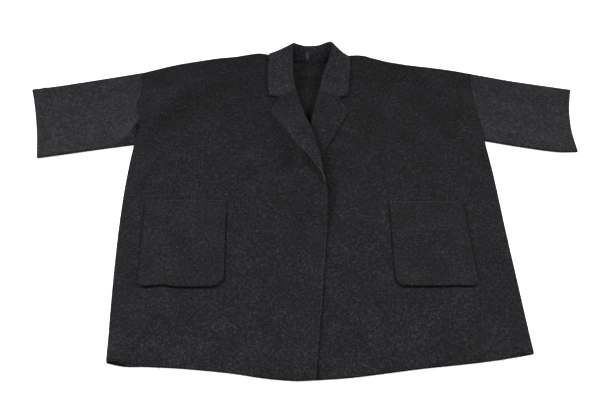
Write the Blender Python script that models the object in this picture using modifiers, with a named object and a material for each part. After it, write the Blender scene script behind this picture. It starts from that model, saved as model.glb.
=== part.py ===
"""Wide wool coat, laid flat and face up.

One unlined layer of thick melton: a back, two fronts whose lapels are their own cloth folded over,
a notched collar on a stand, two short dropped sleeves, two patch pockets and a hanger loop.
Metres, +Z up. The collar points to +Y and the hem to -Y. "right" is the wearer's right, at -X.
The origin is on the flat underside of the back, at the middle of the coat.
"""
import math
from collections import namedtuple

import bmesh
import bpy
from mathutils import Vector

# Cloth
WALL = 0.0020           # thickness of the melton
GAP = 0.0003            # between pieces that are sewn together
AIR = 0.0008            # between layers that only lie on each other

# How the cloth turns
SEAM_RISE = 0.0008      # from the back up to the seam edge of a front
EDGE_RISE = 0.0036      # rise of the upper layer at a side or shoulder fold
EDGE_SPREAD = 0.070     # distance in which that swelling dies out
ROLL_RADIUS = 0.0027    # of the lapels where they turn over
ROLL_ARC = math.pi * ROLL_RADIUS
ROLL_SHARE = 0.65       # of a narrow edge, the most that turns
LAPEL_SETTLE = 0.030    # a lapel this wide comes down on the front

# The lower front's lapel under the upper front
RIDGE_HEIGHT = 0.0100
OVERLAP_RISE = 0.0027

# Levels, along Y, that the rows of the body pass through at its sides
Level = namedtuple("Level", "row right left")
LEVELS = (
    Level(0, -0.4180, -0.4010),     # hem
    Level(1, -0.0100, -0.0100),     # foot of the lapels
    Level(2, 0.1360, 0.1480),       # underarm
    Level(3, 0.3750, 0.3715),       # shoulder
)
HEM_MIDDLE = -0.4580    # levels of the same rows at the roll lines
LAPEL_FOOT = -0.0100
GORGE = 0.3000
NECK = 0.4220

# Outline of the body, seen from above
Side = namedtuple("Side", "y right left")
SIDES = (
    Side(-0.418, -0.4260, 0.4520),
    Side(-0.250, -0.4375, 0.4450),
    Side(-0.080, -0.4445, 0.4375),
    Side(0.050, -0.4440, 0.4335),
    Side(0.145, -0.4390, 0.4270),
)
Armhole = namedtuple("Armhole", "part right left")
ARMHOLES = (
    Armhole(0.00, -0.4390, 0.4270),
    Armhole(0.18, -0.4385, 0.4240),
    Armhole(0.33, -0.4345, 0.4201),
    Armhole(0.52, -0.4425, 0.4165),
    Armhole(0.70, -0.4380, 0.4135),
    Armhole(1.00, -0.4425, 0.4165),
)
Edge = namedtuple("Edge", "x y")
HEM = (
    Edge(-0.4260, -0.4220),
    Edge(-0.3880, -0.4295),
    Edge(-0.3400, -0.4300),
    Edge(-0.2690, -0.4335),
    Edge(-0.1720, -0.4430),
    Edge(-0.1000, -0.4540),
    Edge(-0.0450, -0.4590),
    Edge(0.0000, -0.4575),
    Edge(0.0760, -0.4520),
    Edge(0.2190, -0.4335),
    Edge(0.3210, -0.4225),
    Edge(0.4080, -0.4105),
    Edge(0.4520, -0.4025),
)
RIGHT_SHOULDER = (
    Edge(-0.4425, 0.3750),
    Edge(-0.3840, 0.3945),
    Edge(-0.3480, 0.4055),
    Edge(-0.2480, 0.4270),
    Edge(-0.2040, 0.4325),
    Edge(-0.1600, 0.4420),
    Edge(-0.1400, 0.4435),
    Edge(-0.1150, 0.4380),
    Edge(-0.0750, 0.4220),
)
LEFT_SHOULDER = (
    Edge(0.0730, 0.4220),
    Edge(0.1000, 0.4335),
    Edge(0.1384, 0.4350),
    Edge(0.1638, 0.4275),
    Edge(0.1990, 0.4155),
    Edge(0.2348, 0.4070),
    Edge(0.2896, 0.3955),
    Edge(0.3710, 0.3820),
    Edge(0.4165, 0.3715),
)
BACK_NECK = 0.4120      # level of the back neck seam at the middle

# Roll line of each front and the lapel that turns over on it: the roll line's place, the angle
# below the X direction in which the lapel lies, its width round the roll, and its lift off the front
Roll = namedtuple("Roll", "y x lean width lift")
RIGHT_ROLL = (
    Roll(-0.458, -0.0120, 0, 0.0120, 0.0),
    Roll(-0.368, -0.0036, 0, 0.0120, 0.0),
    Roll(-0.255, 0.0062, 0, 0.0120, 0.0),
    Roll(-0.160, 0.0138, 0, 0.0120, 0.0),
    Roll(-0.069, 0.0195, 0, 0.0120, 0.0),
    Roll(-0.010, 0.0205, 0, 0.0120, 0.0),
    Roll(0.032, 0.0205, 4, 0.0110, 0.0005),
    Roll(0.065, 0.0190, 8, 0.0200, 0.0030),
    Roll(0.100, 0.0125, 12, 0.0365, 0.0075),
    Roll(0.150, 0.0000, 20, 0.0530, 0.0095),
    Roll(0.200, -0.0145, 27, 0.0650, 0.0070),
    Roll(0.250, -0.0295, 35, 0.0795, 0.0035),
    Roll(0.300, -0.0430, 44, 0.0945, 0.0010),
)
LEFT_ROLL = (
    Roll(-0.458, -0.0380, 0, 0.0105, 0.0),
    Roll(-0.250, -0.0360, 0, 0.0105, 0.0),
    Roll(-0.030, -0.0340, 0, 0.0098, 0.0),
    Roll(0.000, -0.0335, 0, 0.0098, 0.0),
    Roll(0.032, -0.0310, 4, 0.0098, 0.0),
    Roll(0.065, -0.0255, 8, 0.0110, 0.0),
    Roll(0.100, -0.0190, 12, 0.0440, 0.0),
    Roll(0.150, -0.0095, 20, 0.0595, 0.0004),
    Roll(0.200, 0.0005, 27, 0.0730, 0.0010),
    Roll(0.250, 0.0105, 35, 0.0875, 0.0010),
    Roll(0.300, 0.0215, 39, 0.1017, 0.0010),
)
ROLL_LIFT = 0.011       # the roll lines climb to the neck
ROLL_LIFT_REACH = 0.055
NECK_SETTLE = 0.075     # and come down to the shoulder seam in this distance
LAPEL_TURN_END = 0.072  # the lapels are folded flat above this level
NOTCH = 0.65            # the notch's place along a lapel's top edge
GORGE_BOW = 0.021       # how far the top edge bows up there
GORGE_BOW_START = 0.190 # level where the rows of a lapel begin to bow

# Collar, a section for each row: where its seam is (the level on a front's neckline, or the place
# across the back neck), its roll and leaf edge, where the roll faces and how far it leans up from
# level, and the place and height of the bend in the leaf
Section = namedtuple("Section", "seam_on seam rx ry rz ex ey ez face up knee knee_z")
COLLAR = (
    Section("right", 0.322, -0.0460, 0.322, 0.0225, -0.1120, 0.316, 0.0090, 180, 55, 0.55, 0.004),
    Section("right", 0.350, -0.0500, 0.350, 0.0280, -0.1140, 0.345, 0.0095, 180, 35, 0.55, 0.006),
    Section("right", 0.385, -0.0505, 0.392, 0.0330, -0.1140, 0.392, 0.0120, 175, 15, 0.55, 0.007),
    Section("right", 0.408, -0.0505, 0.425, 0.0360, -0.1130, 0.425, 0.0155, 160, 5, 0.55, 0.007),
    Section("back", -0.0720, -0.0500, 0.4440, 0.0370, -0.1120, 0.4425, 0.0055, 140, 0, 0.60, 0.016),
    Section("back", -0.0600, -0.0460, 0.4515, 0.0350, -0.1000, 0.437, 0.0011, 120, -10, 0.70, -0.0040),
    Section("back", -0.0420, -0.0340, 0.4525, 0.0290, -0.0720, 0.407, 0.0011, 105, -20, 0.85, -0.0045),
    Section("back", -0.0200, -0.0170, 0.4540, 0.0220, -0.0350, 0.396, 0.0011, 95, -25, 0.90, -0.0045),
    Section("back", 0.0000, 0.0000, 0.4560, 0.0200, 0.0000, 0.393, 0.0011, 90, -25, 0.90, -0.0045),
    Section("back", 0.0200, 0.0200, 0.4560, 0.0220, 0.0330, 0.395, 0.0011, 85, -25, 0.90, -0.0045),
    Section("back", 0.0420, 0.0385, 0.4565, 0.0310, 0.0680, 0.406, 0.0011, 75, -20, 0.85, -0.0045),
    Section("back", 0.0590, 0.0510, 0.4535, 0.0380, 0.0930, 0.436, 0.0011, 60, -10, 0.70, -0.0040),
    Section("back", 0.0700, 0.0550, 0.4450, 0.0395, 0.1030, 0.4385, 0.0055, 40, 0, 0.60, 0.016),
    Section("left", 0.408, 0.0540, 0.425, 0.0375, 0.1045, 0.423, 0.0155, 20, 5, 0.55, 0.006),
    Section("left", 0.385, 0.0435, 0.385, 0.0320, 0.1035, 0.392, 0.0120, 5, 15, 0.55, 0.007),
    Section("left", 0.350, 0.0315, 0.350, 0.0270, 0.1000, 0.348, 0.0095, 0, 35, 0.55, 0.006),
    Section("left", 0.322, 0.0258, 0.322, 0.0220, 0.0965, 0.318, 0.0090, 0, 55, 0.55, 0.004),
)
COLLAR_CORNERS = {"right": (-0.1080, 0.2930), "left": (0.0927, 0.2927)}
ROLL_HANDLE = 0.007     # how widely the collar turns at its roll
GORGE_GAP = 0.0012      # from the lapel's top edge to the collar's end
GORGE_STEP = 0.0016     # and from the foot of the neckline
LEAF_AIR = 0.0018       # under the collar's leaf where it lies on a front
LEAF_DROP = 0.006       # the leaf comes off the fronts this near the shoulders
COLLAR_LEAF_START = 0.345   # the back lies over the collar's leaf above this level
COLLAR_LEAF_HALF = 0.118
COLLAR_LEAF_FADE = 0.050

# Sleeves: top and bottom folds from the armhole to the cuff
Fold = namedtuple("Fold", "part top_x top_y low_x low_y")
RIGHT_SLEEVE = (
    Fold(0.0, -0.4425, 0.3750, -0.4390, 0.1360),
    Fold(0.4, -0.5560, 0.3500, -0.5290, 0.1210),
    Fold(0.8, -0.6680, 0.3265, -0.6200, 0.1045),
    Fold(1.0, -0.7255, 0.3170, -0.6695, 0.0960),
)
LEFT_SLEEVE = (
    Fold(0.0, 0.4165, 0.3715, 0.4270, 0.1480),
    Fold(0.4, 0.5160, 0.3470, 0.5100, 0.1300),
    Fold(0.8, 0.6200, 0.3260, 0.6000, 0.1145),
    Fold(1.0, 0.6725, 0.3160, 0.6490, 0.1145),
)
CUFF_BOW = {"right": 0.004, "left": -0.010}

# Patch pockets: corners by level, with round lower corners
Pocket = namedtuple("Pocket", "side inner_top inner_low outer_top outer_low top low inner_round outer_round")
POCKETS = (
    Pocket("right", -0.2018, -0.1960, -0.3905, -0.3850, -0.0270, -0.2510, 0.030, 0.018),
    Pocket("left", 0.1782, 0.1791, 0.3515, 0.3600, -0.0310, -0.2490, 0.022, 0.018),
)

# Larger folds of the laid cloth: soft ridges from the shoulder to the underarm, and the lifted hem
Ridge = namedtuple("Ridge", "side x0 y0 x1 y1 half_width height")
RIDGES = (
    Ridge("right", -0.215, 0.375, -0.385, 0.200, 0.030, 0.0040),
    Ridge("right", -0.330, 0.330, -0.400, 0.235, 0.022, 0.0025),
    Ridge("left", 0.215, 0.345, 0.370, 0.200, 0.030, 0.0040),
    Ridge("left", 0.330, 0.300, 0.395, 0.240, 0.022, 0.0025),
)
Lift = namedtuple("Lift", "side x y half_x half_y height curl")
HEM_LIFTS = (
    Lift("right", -0.406, -0.419, 0.026, 0.055, 0.0110, 0.0060),
    Lift("left", 0.430, -0.404, 0.022, 0.040, 0.0050, 0.0020),
    Lift("right", -0.030, -0.458, 0.060, 0.060, 0.0020, 0.0),
)

LOOP_X = -0.0105        # hanger loop, on the inside of the stand
LOOP_HALF = 0.0017
LOOP_LENGTH = 0.018
LOOP_CORD = 0.0008
LOOP_FOOT = 0.0116
LOOP_RISE = 0.0086

# Rows and columns of the cloth grids, as parts of the whole
SLIM = (0.002, 0.012, 0.035, 0.08, 0.17)
ARM_PARTS = (0.0,) + SLIM + (0.33, 0.5, 0.67) + tuple(1 - s for s in reversed(SLIM)) + (1.0,)
UNDER_PARTS = (0.008, 0.08, 0.17, 0.33, 0.5, 0.67, 0.83, 0.92, 0.992)
BACK_PARTS = (0.008, 0.08, 0.17, 0.33, 0.5, 0.67, 0.75, 0.83, 0.875, 0.92, 0.992)
BODY_ROWS = (0.0, 0.06, 0.25, 0.5, 0.75)
CHEST_ROWS = (1.0, 1.07, 1.14, 1.21, 1.28, 1.36, 1.44, 1.53, 1.64, 1.76, 1.88, 1.97)
CHEST_ROWS += tuple(2 + part for part in ARM_PARTS[:7])
NECK_ROWS = tuple(2 + part for part in ARM_PARTS[7:])
NECK_LEVELS = (0.3260, 0.3530, 0.3790, 0.4010, 0.4135, 0.4191, 0.4215, NECK)
FRONT_ROWS = tuple((row, HEM_MIDDLE + (LAPEL_FOOT - HEM_MIDDLE) * row) for row in BODY_ROWS)
FRONT_ROWS += tuple((row, LAPEL_FOOT + (GORGE - LAPEL_FOOT) * i / (len(CHEST_ROWS) - 1))
                    for i, row in enumerate(CHEST_ROWS))
GORGE_ROW = FRONT_ROWS[-1]
FRONT_ROWS += tuple(zip(NECK_ROWS, NECK_LEVELS))
EDGE_PARTS = (0.0, 0.0014, 0.0085, 0.025, 0.05, 0.1, 0.17)          # from the side to the neck
PANEL_PARTS = EDGE_PARTS + (0.27, 0.39, 0.51, 0.61, 0.69, 0.755, 0.82, 0.88, 0.935, 0.975, 1.0)
ARC_STEPS = 6
LAPEL_PARTS = (0.12, 0.3, 0.5, NOTCH, 0.83, 1.0)

MELTON = (0.0225, 0.0225, 0.0245)
MELTON_LIGHT = (0.033, 0.033, 0.035)
LOOP_COLOUR = (0.020, 0.020, 0.021)


def mix(a, b, part):
    return a + (b - a) * part


def smooth(part):
    part = min(max(part, 0.0), 1.0)
    return part * part * (3 - 2 * part)


def follow(rows, key, value, at):
    """A table's column on a smooth curve through its rows, where the key column equals at."""
    keys = [getattr(row, key) for row in rows]
    values = [getattr(row, value) for row in rows]
    at = min(max(at, keys[0]), keys[-1])
    low = max(i for i in range(len(keys) - 1) if keys[i] <= at)

    def slope(i):
        before, after = max(i - 1, 0), min(i + 1, len(keys) - 1)
        return (values[after] - values[before]) / (keys[after] - keys[before])

    span = keys[low + 1] - keys[low]
    t = (at - keys[low]) / span
    start, end = slope(low) * span, slope(low + 1) * span
    rise = values[low + 1] - values[low]
    return values[low] + t * start + t * t * (3 * rise - 2 * start - end) + t ** 3 * (start + end - 2 * rise)


def level(side, row):
    """Level along Y of a grid row at a side, straight between the named levels."""
    low = min(int(row), len(LEVELS) - 2)
    return mix(getattr(LEVELS[low], side), getattr(LEVELS[low + 1], side), row - low)


def top_edge(x):
    """Shoulder edges and, between them, the back neck."""
    neck_right, neck_left = RIGHT_SHOULDER[-1], LEFT_SHOULDER[0]
    if x <= neck_right.x:
        return follow(RIGHT_SHOULDER, "x", "y", x)
    if x >= neck_left.x:
        return follow(LEFT_SHOULDER, "x", "y", x)
    across = (x - neck_right.x) / (neck_left.x - neck_right.x)
    dip = math.sin(math.pi * across)
    return mix(neck_right.y, BACK_NECK, dip)


def side_point(side, row):
    """Point of the outline at a grid row, up the side seam and then up the armhole."""
    y = level(side, row)
    if row <= 2:
        return follow(SIDES, "y", side, y), y
    return follow(ARMHOLES, "part", side, row - 2), y


def roll_table(side):
    return RIGHT_ROLL if side == "right" else LEFT_ROLL


def back_underside(x, y):
    """The back rests flat, and lies over the collar's leaf at the neck."""
    along = smooth((y - COLLAR_LEAF_START) / 0.020)
    across = 1 - smooth((abs(x) - COLLAR_LEAF_HALF) / COLLAR_LEAF_FADE)
    return along * across * (WALL + 2 * GAP)


def ridge_height(side, x, y):
    """Soft ridges and lifted hem of a front."""
    total = 0.0
    for ridge in RIDGES:
        if ridge.side == side:
            run = Vector((ridge.x1 - ridge.x0, ridge.y1 - ridge.y0))
            to = Vector((x - ridge.x0, y - ridge.y0))
            along = to.dot(run) / run.length_squared
            off = (to - run * along).length
            ends = smooth(along / 0.4) * smooth((1 - along) / 0.4)
            total += ridge.height * ends * math.exp(-(off / ridge.half_width) ** 2)
    for lift in HEM_LIFTS:
        if lift.side == side:
            reach = ((x - lift.x) / lift.half_x) ** 2 + ((y - lift.y) / lift.half_y) ** 2
            total += lift.height * math.exp(-reach)
    return total


def swelling(distance, lift=0.0):
    """Height over the seam of the upper layer, at a distance from a folded edge."""
    rest = AIR + WALL / 2 - SEAM_RISE
    peak = EDGE_RISE + lift
    if distance < EDGE_RISE:
        return peak * math.sqrt(1 - (1 - distance / EDGE_RISE) ** 2)
    return mix(peak, rest + lift, smooth((distance - EDGE_RISE) / EDGE_SPREAD))


def edge_distance(side, x, y):
    """Distance to the folded edge: the side seam, the underarm or the shoulder."""
    sign = -1 if side == "right" else 1
    underarm_y = getattr(LEVELS[2], side)
    underarm_x = getattr(ARMHOLES[0], side)
    if y <= underarm_y:
        to_side = sign * (follow(SIDES, "y", side, y) - x) - WALL / 2
    else:
        to_side = math.hypot(x - underarm_x, y - underarm_y)
    neck = neck_edge(side)
    if sign * (x - neck.x) >= 0:
        to_top = top_edge(x) - WALL / 2 - y
    else:
        to_top = math.hypot(x - neck.x, y - neck.y)
    return max(min(to_side, to_top), 0.0)


def front_height(side, x, y):
    """Middle of a front's wall above the floor."""
    inward = 1 if side == "right" else -1
    over = back_underside(x, y) + WALL + SEAM_RISE
    height = over + swelling(edge_distance(side, x, y), ridge_height(side, x, y))
    to_roll = inward * (roll_place(side, y) - x)
    climb = smooth((y - 0.06) / 0.24) * smooth((top_edge(x) - y) / NECK_SETTLE)
    height += ROLL_LIFT * climb * math.exp(-(max(to_roll, 0.0) / ROLL_LIFT_REACH) ** 2)
    if side == "right":
        lower = follow(LEFT_ROLL, "y", "x", y)
        overlap = OVERLAP_RISE * smooth((x - lower + 0.042) / 0.026)
        ridge = smooth((x - lower + 0.045) / 0.036) * smooth((y + 0.07) / 0.07)
        height += max(overlap, RIDGE_HEIGHT * ridge * (1 - smooth((y - 0.20) / 0.06)))
    return height


def neck_edge(side):
    """Where a front's shoulder ends and its neckline begins."""
    return RIGHT_SHOULDER[-1] if side == "right" else LEFT_SHOULDER[0]


def roll_place(side, y):
    """Inner edge of a front's panel: its roll line up to the gorge, and above that its neckline."""
    past = min(max((y - GORGE) / (NECK - GORGE), 0.0), 1.0)
    return mix(follow(roll_table(side), "y", "x", y), neck_edge(side).x, past)


def hem_curl(side, x):
    """How far a lifted hem draws back."""
    return sum(lift.curl * math.exp(-((x - lift.x) / lift.half_x) ** 2) for lift in HEM_LIFTS if lift.side == side)


def front_plan(side, column, row):
    """Plan position in a front, from its side to its roll line or neckline."""
    row, inner_y = row
    inward = 1 if side == "right" else -1
    side_x, side_y = side_point(side, row)
    inset = inward * mix(WALL / 2, GAP, smooth((row - 2) / 0.014))
    x = mix(side_x + inset, roll_place(side, inner_y), column)
    y = mix(side_y, inner_y, column)
    if row < 1:
        straight = mix(getattr(LEVELS[0], side), HEM_MIDDLE, column)
        y += (follow(HEM, "x", "y", x) + hem_curl(side, x) - straight) * (1 - row)
    if row > 2:
        top_x, top_y = side_point(side, 3)
        last_x = mix(top_x + inset, neck_edge(side).x, column)
        y += (top_edge(last_x) - WALL / 2 - mix(top_y, NECK, column)) * (row - 2) ** 1.4
    return x, y


def front_point(side, column, row):
    """Point of a front: its panel up to column 1, and past it the strip that turns to the lapel.
    The lapel ends at the gorge.
    """
    if column > 1.0 and row[1] > GORGE:
        return None
    x, y = front_plan(side, min(column, 1.0), row)
    if column <= 1.0:
        return Vector((x, y, front_height(side, x, y)))
    rolls = roll_table(side)
    inward = 1 if side == "right" else -1
    foot = Vector((x, y, front_height(side, x, y)))
    roll_y = row[1]
    turn = math.pi * smooth((roll_y - LAPEL_FOOT) / (LAPEL_TURN_END - LAPEL_FOOT))
    lean = math.radians(follow(rolls, "y", "lean", roll_y))
    outward = Vector((inward * math.cos(lean), math.sin(lean), 0.0))
    width = follow(rolls, "y", "width", roll_y)
    lift = follow(rolls, "y", "lift", roll_y)
    steps = (column - 1.0) * (ARC_STEPS + len(LAPEL_PARTS))
    arc = min(ROLL_ARC, ROLL_SHARE * width)
    turn = max(turn, 0.001)
    turned = turn * min(steps / ARC_STEPS, 1.0)
    radius = arc / turn
    point = foot + outward * (radius * math.sin(turned))
    point.z += radius * (1 - math.cos(turned))
    if steps > ARC_STEPS:
        part = LAPEL_PARTS[round(steps) - ARC_STEPS - 1]
        flat = (width - arc) * math.cos(turn)
        edge = point + outward * flat
        rolled = point.z
        point += outward * (flat * part)
        point.z += (width - arc) * part * math.sin(turn)
        bow = part / NOTCH if part <= NOTCH else (1 - part) / (1 - NOTCH)
        point.y += GORGE_BOW * bow * max((roll_y - GORGE_BOW_START) / (GORGE - GORGE_BOW_START), 0) ** 2
        laid = front_height(side, edge.x, edge.y) + WALL + GAP + lift
        laid = mix(rolled, laid, smooth(part) * smooth(flat / -LAPEL_SETTLE))
        lying = max(laid, front_height(side, point.x, point.y) + WALL + GAP)
        point.z = mix(point.z, lying, smooth((turn - 2.2) / 0.9))
    return point


def bezier(a, b, c, d, t):
    s = 1 - t
    return a * s ** 3 + b * (3 * s * s * t) + c * (3 * s * t * t) + d * t ** 3


STAND_STEPS = 4
LEAF_PARTS = (0.0, 0.06, 0.13, 0.21, 0.33, 0.47, 0.61, 0.73, 0.87, 1.0)


def seam_point(row, roll):
    """Point of the collar's seam, moved off the neck edge by the gap and the lean of the stand."""
    if row.seam_on == "back":
        edge = Vector((row.seam, top_edge(row.seam), 0.0))
        edge.z = back_underside(edge.x, edge.y) + WALL * 1.5 + 2 * GAP
        away = Vector()
    else:
        x = roll_place(row.seam_on, row.seam)
        edge = Vector((x, row.seam, front_height(row.seam_on, x, row.seam)))
        away = Vector((1.0 if row.seam_on == "right" else -1.0, 0.0, 0.0))
    lean = (roll - edge).normalized().z
    return edge + away * (2 * GAP + WALL / 2 * max(lean, 0.8))


def collar_section(row):
    """Points of one collar section, from its seam over the roll to the leaf's edge."""
    roll = Vector((row.rx, row.ry, row.rz))
    seam = seam_point(row, roll)
    rise = mix(seam, roll, 0.3)
    edge = Vector((row.ex, row.ey, row.ez))
    face, up = math.radians(row.face), math.radians(row.up)
    turn = Vector((math.cos(face) * math.cos(up), math.sin(face) * math.cos(up), math.sin(up)))
    stand = [bezier(seam, rise, roll - turn * ROLL_HANDLE, roll, i / STAND_STEPS) for i in range(STAND_STEPS)]
    knee = mix(edge, roll, row.knee)
    knee.z = edge.z + row.knee_z
    leaf = [bezier(roll, roll + turn * ROLL_HANDLE, knee, edge, t) for t in LEAF_PARTS]
    return stand + leaf


def collar_end(side):
    """The collar's end: along the lapel's top edge to the notch, then free to the collar's corner."""
    total = ARC_STEPS + len(LAPEL_PARTS)
    top = [front_point(side, 1 + i / total, GORGE_ROW) for i in range(total + 1)]
    notch_step = ARC_STEPS + 1 + LAPEL_PARTS.index(NOTCH)
    gorge = top[notch_step] - top[0]
    away = Vector((-gorge.y, gorge.x, 0.0)).normalized()
    shift = away * math.copysign(GORGE_GAP, away.y)
    inward = Vector((1.0 if side == "right" else -1.0, 0.0, 0.0)) * GORGE_STEP
    first = COLLAR[0] if side == "right" else COLLAR[-1]
    seam = seam_point(first._replace(seam=GORGE + 0.007), top[ARC_STEPS // 2])
    points = [seam]
    for i, point in enumerate(top):
        points.append(point + shift + inward * max(1 - i / ARC_STEPS, 0.0))
    notch = points[notch_step + 1]
    corner = Vector(COLLAR_CORNERS[side] + (0.0,))
    corner.z = front_height(side, corner.x, corner.y) + WALL + GAP + 0.001
    points[-2] = mix(notch, corner, 0.5)
    points[-1] = corner
    return points


def leaf_rest(point):
    """Lowest place of the collar's leaf where it lies over a front."""
    side = "right" if point.x < 0 else "left"
    sign = -1 if side == "right" else 1
    outward = sign * (point.x - roll_place(side, point.y))
    if outward < 0.004 or point.y > top_edge(point.x) - LEAF_DROP:
        return 0.0
    return front_height(side, point.x, point.y) + WALL + LEAF_AIR


def catmull(sections, at):
    """Section at a fractional place along the collar, on smooth curves through all of them."""
    low = min(int(at), len(sections) - 2)
    t = at - low
    rows = [sections[min(max(low + i, 0), len(sections) - 1)] for i in (-1, 0, 1, 2)]
    blended = []
    for p0, p1, p2, p3 in zip(*rows):
        start, end = (p2 - p0) / 2, (p3 - p1) / 2
        rise = p2 - p1
        bend = (rise * 3 - start * 2 - end) * t ** 2 + (start + end - rise * 2) * t ** 3
        blended.append(p1 + start * t + bend)
    return blended


def sleeve_point(side, table, around, along):
    """Point of a sleeve's flattened tube; around goes over the upper layer and back under it."""
    outward = -1 if side == "right" else 1
    over, part = around
    top = Vector((follow(table, "part", "top_x", along), follow(table, "part", "top_y", along)))
    low = Vector((follow(table, "part", "low_x", along), follow(table, "part", "low_y", along)))
    across = (top - low).normalized()
    length = (top - low).length - WALL
    spot = low + across * (WALL / 2 + length * part)
    straight_x = mix(getattr(ARMHOLES[0], side), getattr(ARMHOLES[-1], side), part)
    spot.x += (follow(ARMHOLES, "part", side, part) - straight_x) * (1 - along) ** 2
    spot.x += outward * GAP * (1 - along)
    spot.x += CUFF_BOW[side] * 4 * part * (1 - part) * along ** 2
    if over:
        distance = min(part, 1 - part) * length
        rise = swelling(distance, ridge_height(side, spot.x, spot.y))
        return Vector((spot.x, spot.y, WALL + SEAM_RISE + rise))
    return Vector((spot.x, spot.y, WALL / 2))


def cloth_material(name, colour, roughness):
    material = bpy.data.materials.new(name)
    material.use_nodes = True
    shader = material.node_tree.nodes["Principled BSDF"]
    shader.inputs["Base Color"].default_value = (*colour, 1.0)
    shader.inputs["Roughness"].default_value = roughness
    shader.inputs["Metallic"].default_value = 0.0
    material.diffuse_color = (*colour, 1.0)
    return material


def cloth_grid(name, columns, rows, place, collection, colour, closed=False):
    """A sheet of cloth: a grid whose points are placed one by one, then given its wall."""
    grid = bmesh.new()
    bmesh.ops.create_grid(grid, x_segments=len(columns) - 1, y_segments=len(rows) - 1, size=0.5)
    unused = []
    for vertex in grid.verts:
        i = round((vertex.co.x + 0.5) * (len(columns) - 1))
        j = round((vertex.co.y + 0.5) * (len(rows) - 1))
        spot = place(columns[i], rows[j])
        if spot is None:
            unused.append(vertex)
        else:
            vertex.co = spot
    bmesh.ops.delete(grid, geom=unused, context="VERTS")
    if closed:
        bmesh.ops.remove_doubles(grid, verts=grid.verts, dist=1e-6)
    bmesh.ops.recalc_face_normals(grid, faces=grid.faces)
    mesh = bpy.data.meshes.new(name)
    grid.to_mesh(mesh)
    grid.free()
    mesh.shade_smooth()
    mesh.materials.append(cloth_material(name + "_melton", colour, 0.95))
    piece = bpy.data.objects.new(name, mesh)
    collection.objects.link(piece)
    wall = piece.modifiers.new("Wall", "SOLIDIFY")
    wall.thickness = WALL
    wall.offset = 0.0
    return piece


def back_point(column, row):
    """Point of the back, from its right side to its left."""
    right_x, right_y = side_point("right", row)
    left_x, left_y = side_point("left", row)
    inset = GAP if row >= 2 else 0.0
    x = mix(right_x + inset, left_x - inset, column)
    y = mix(right_y, left_y, column)
    if row < 1:
        hem = follow(HEM, "x", "y", x) + 0.0015
        y += (hem - mix(LEVELS[0].right, LEVELS[0].left, column)) * (1 - row)
    if row > 2:
        last_x = mix(side_point("right", 3)[0] + inset, side_point("left", 3)[0] - inset, column)
        straight = mix(side_point("right", 3)[1], side_point("left", 3)[1], column)
        y += (top_edge(last_x) - straight) * (row - 2) ** 1.4
    return Vector((x, y, back_underside(x, y) + WALL / 2))


def build_back(collection):
    start, end = ARMHOLES[-1].right, ARMHOLES[-1].left
    neck_right = (RIGHT_SHOULDER[-1].x - start) / (end - start)
    neck_left = (LEFT_SHOULDER[0].x - start) / (end - start)
    panel = (0.0,) + PANEL_PARTS[4:]
    columns = tuple(part * neck_right for part in panel)
    columns += tuple(mix(neck_right, neck_left, i / 12) for i in range(1, 12))
    columns += tuple(mix(1, neck_left, part) for part in reversed(panel))
    rows = (0.0, 0.3, 0.6, 1.0, 1.4, 1.8, 2.0) + tuple(2 + part for part in BACK_PARTS) + (3.0,)
    cloth_grid("back", columns, rows, back_point, collection, MELTON)


def build_front(side, collection):
    total = ARC_STEPS + len(LAPEL_PARTS)
    columns = PANEL_PARTS + tuple(1 + (i + 1) / total for i in range(total))

    def place(column, row):
        return front_point(side, column, row)

    cloth_grid("front_" + side, columns, FRONT_ROWS, place, collection, MELTON)


def build_sleeve(side, collection):
    table = RIGHT_SLEEVE if side == "right" else LEFT_SLEEVE
    over = [(True, part) for part in ARM_PARTS]
    under = [(False, part) for part in reversed(UNDER_PARTS)]
    around = over + under + [over[0]]
    along = (0.0, 0.12, 0.3, 0.5, 0.7, 0.88, 1.0)

    def place(spot, part):
        return sleeve_point(side, table, spot, part)

    cloth_grid("sleeve_" + side, around, along, place, collection, MELTON_LIGHT, closed=True)


def build_collar(collection):
    sections = [collar_end("right")] + [collar_section(row) for row in COLLAR] + [collar_end("left")]
    steps = [i / 2 for i in range(2 * len(sections) - 1)]
    points = [catmull(sections, step) for step in steps]
    for section in points[1:-1]:
        for i, point in enumerate(section):
            lowest = WALL / 2 + 0.0001
            if i > STAND_STEPS:
                lowest = max(lowest, leaf_rest(point))
            point.z = max(point.z, lowest)

    def place(across, along):
        return points[along][across]

    cloth_grid("collar", range(len(sections[0])), range(len(steps)), place, collection, MELTON)


def pocket_point(pocket, across, down):
    """Point of a pocket: across from its outer side, down from its top, on the front's own points."""
    y = mix(pocket.top, pocket.low, down)
    outer = mix(pocket.outer_top, pocket.outer_low, down)
    inner = mix(pocket.inner_top, pocket.inner_low, down)
    x = mix(outer, inner, across)
    height = pocket.top - pocket.low
    width = abs(inner - outer)
    rounding = mix(pocket.outer_round, pocket.inner_round, smooth((across - 0.3) / 0.4))
    to_side = min(across, 1 - across) * width
    if to_side < rounding:
        cut = rounding - math.sqrt(rounding ** 2 - (rounding - to_side) ** 2)
        y += cut * smooth((down * height - (height - 2.5 * rounding)) / (2.5 * rounding))
    return Vector((x, y, front_height(pocket.side, x, y) + WALL + 1.5 * GAP))


def build_pocket(pocket, collection):
    across = (0.0, 0.012, 0.035, 0.07, 0.11, 0.2, 0.35, 0.5, 0.65, 0.8, 0.87, 0.92, 0.96, 0.985, 1.0)
    down = (0.0, 0.2, 0.4, 0.6, 0.72, 0.82, 0.9, 0.96, 1.0)

    def place(column, row):
        return pocket_point(pocket, column, row)

    cloth_grid("pocket_" + pocket.side, across, down, place, collection, MELTON)


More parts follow.
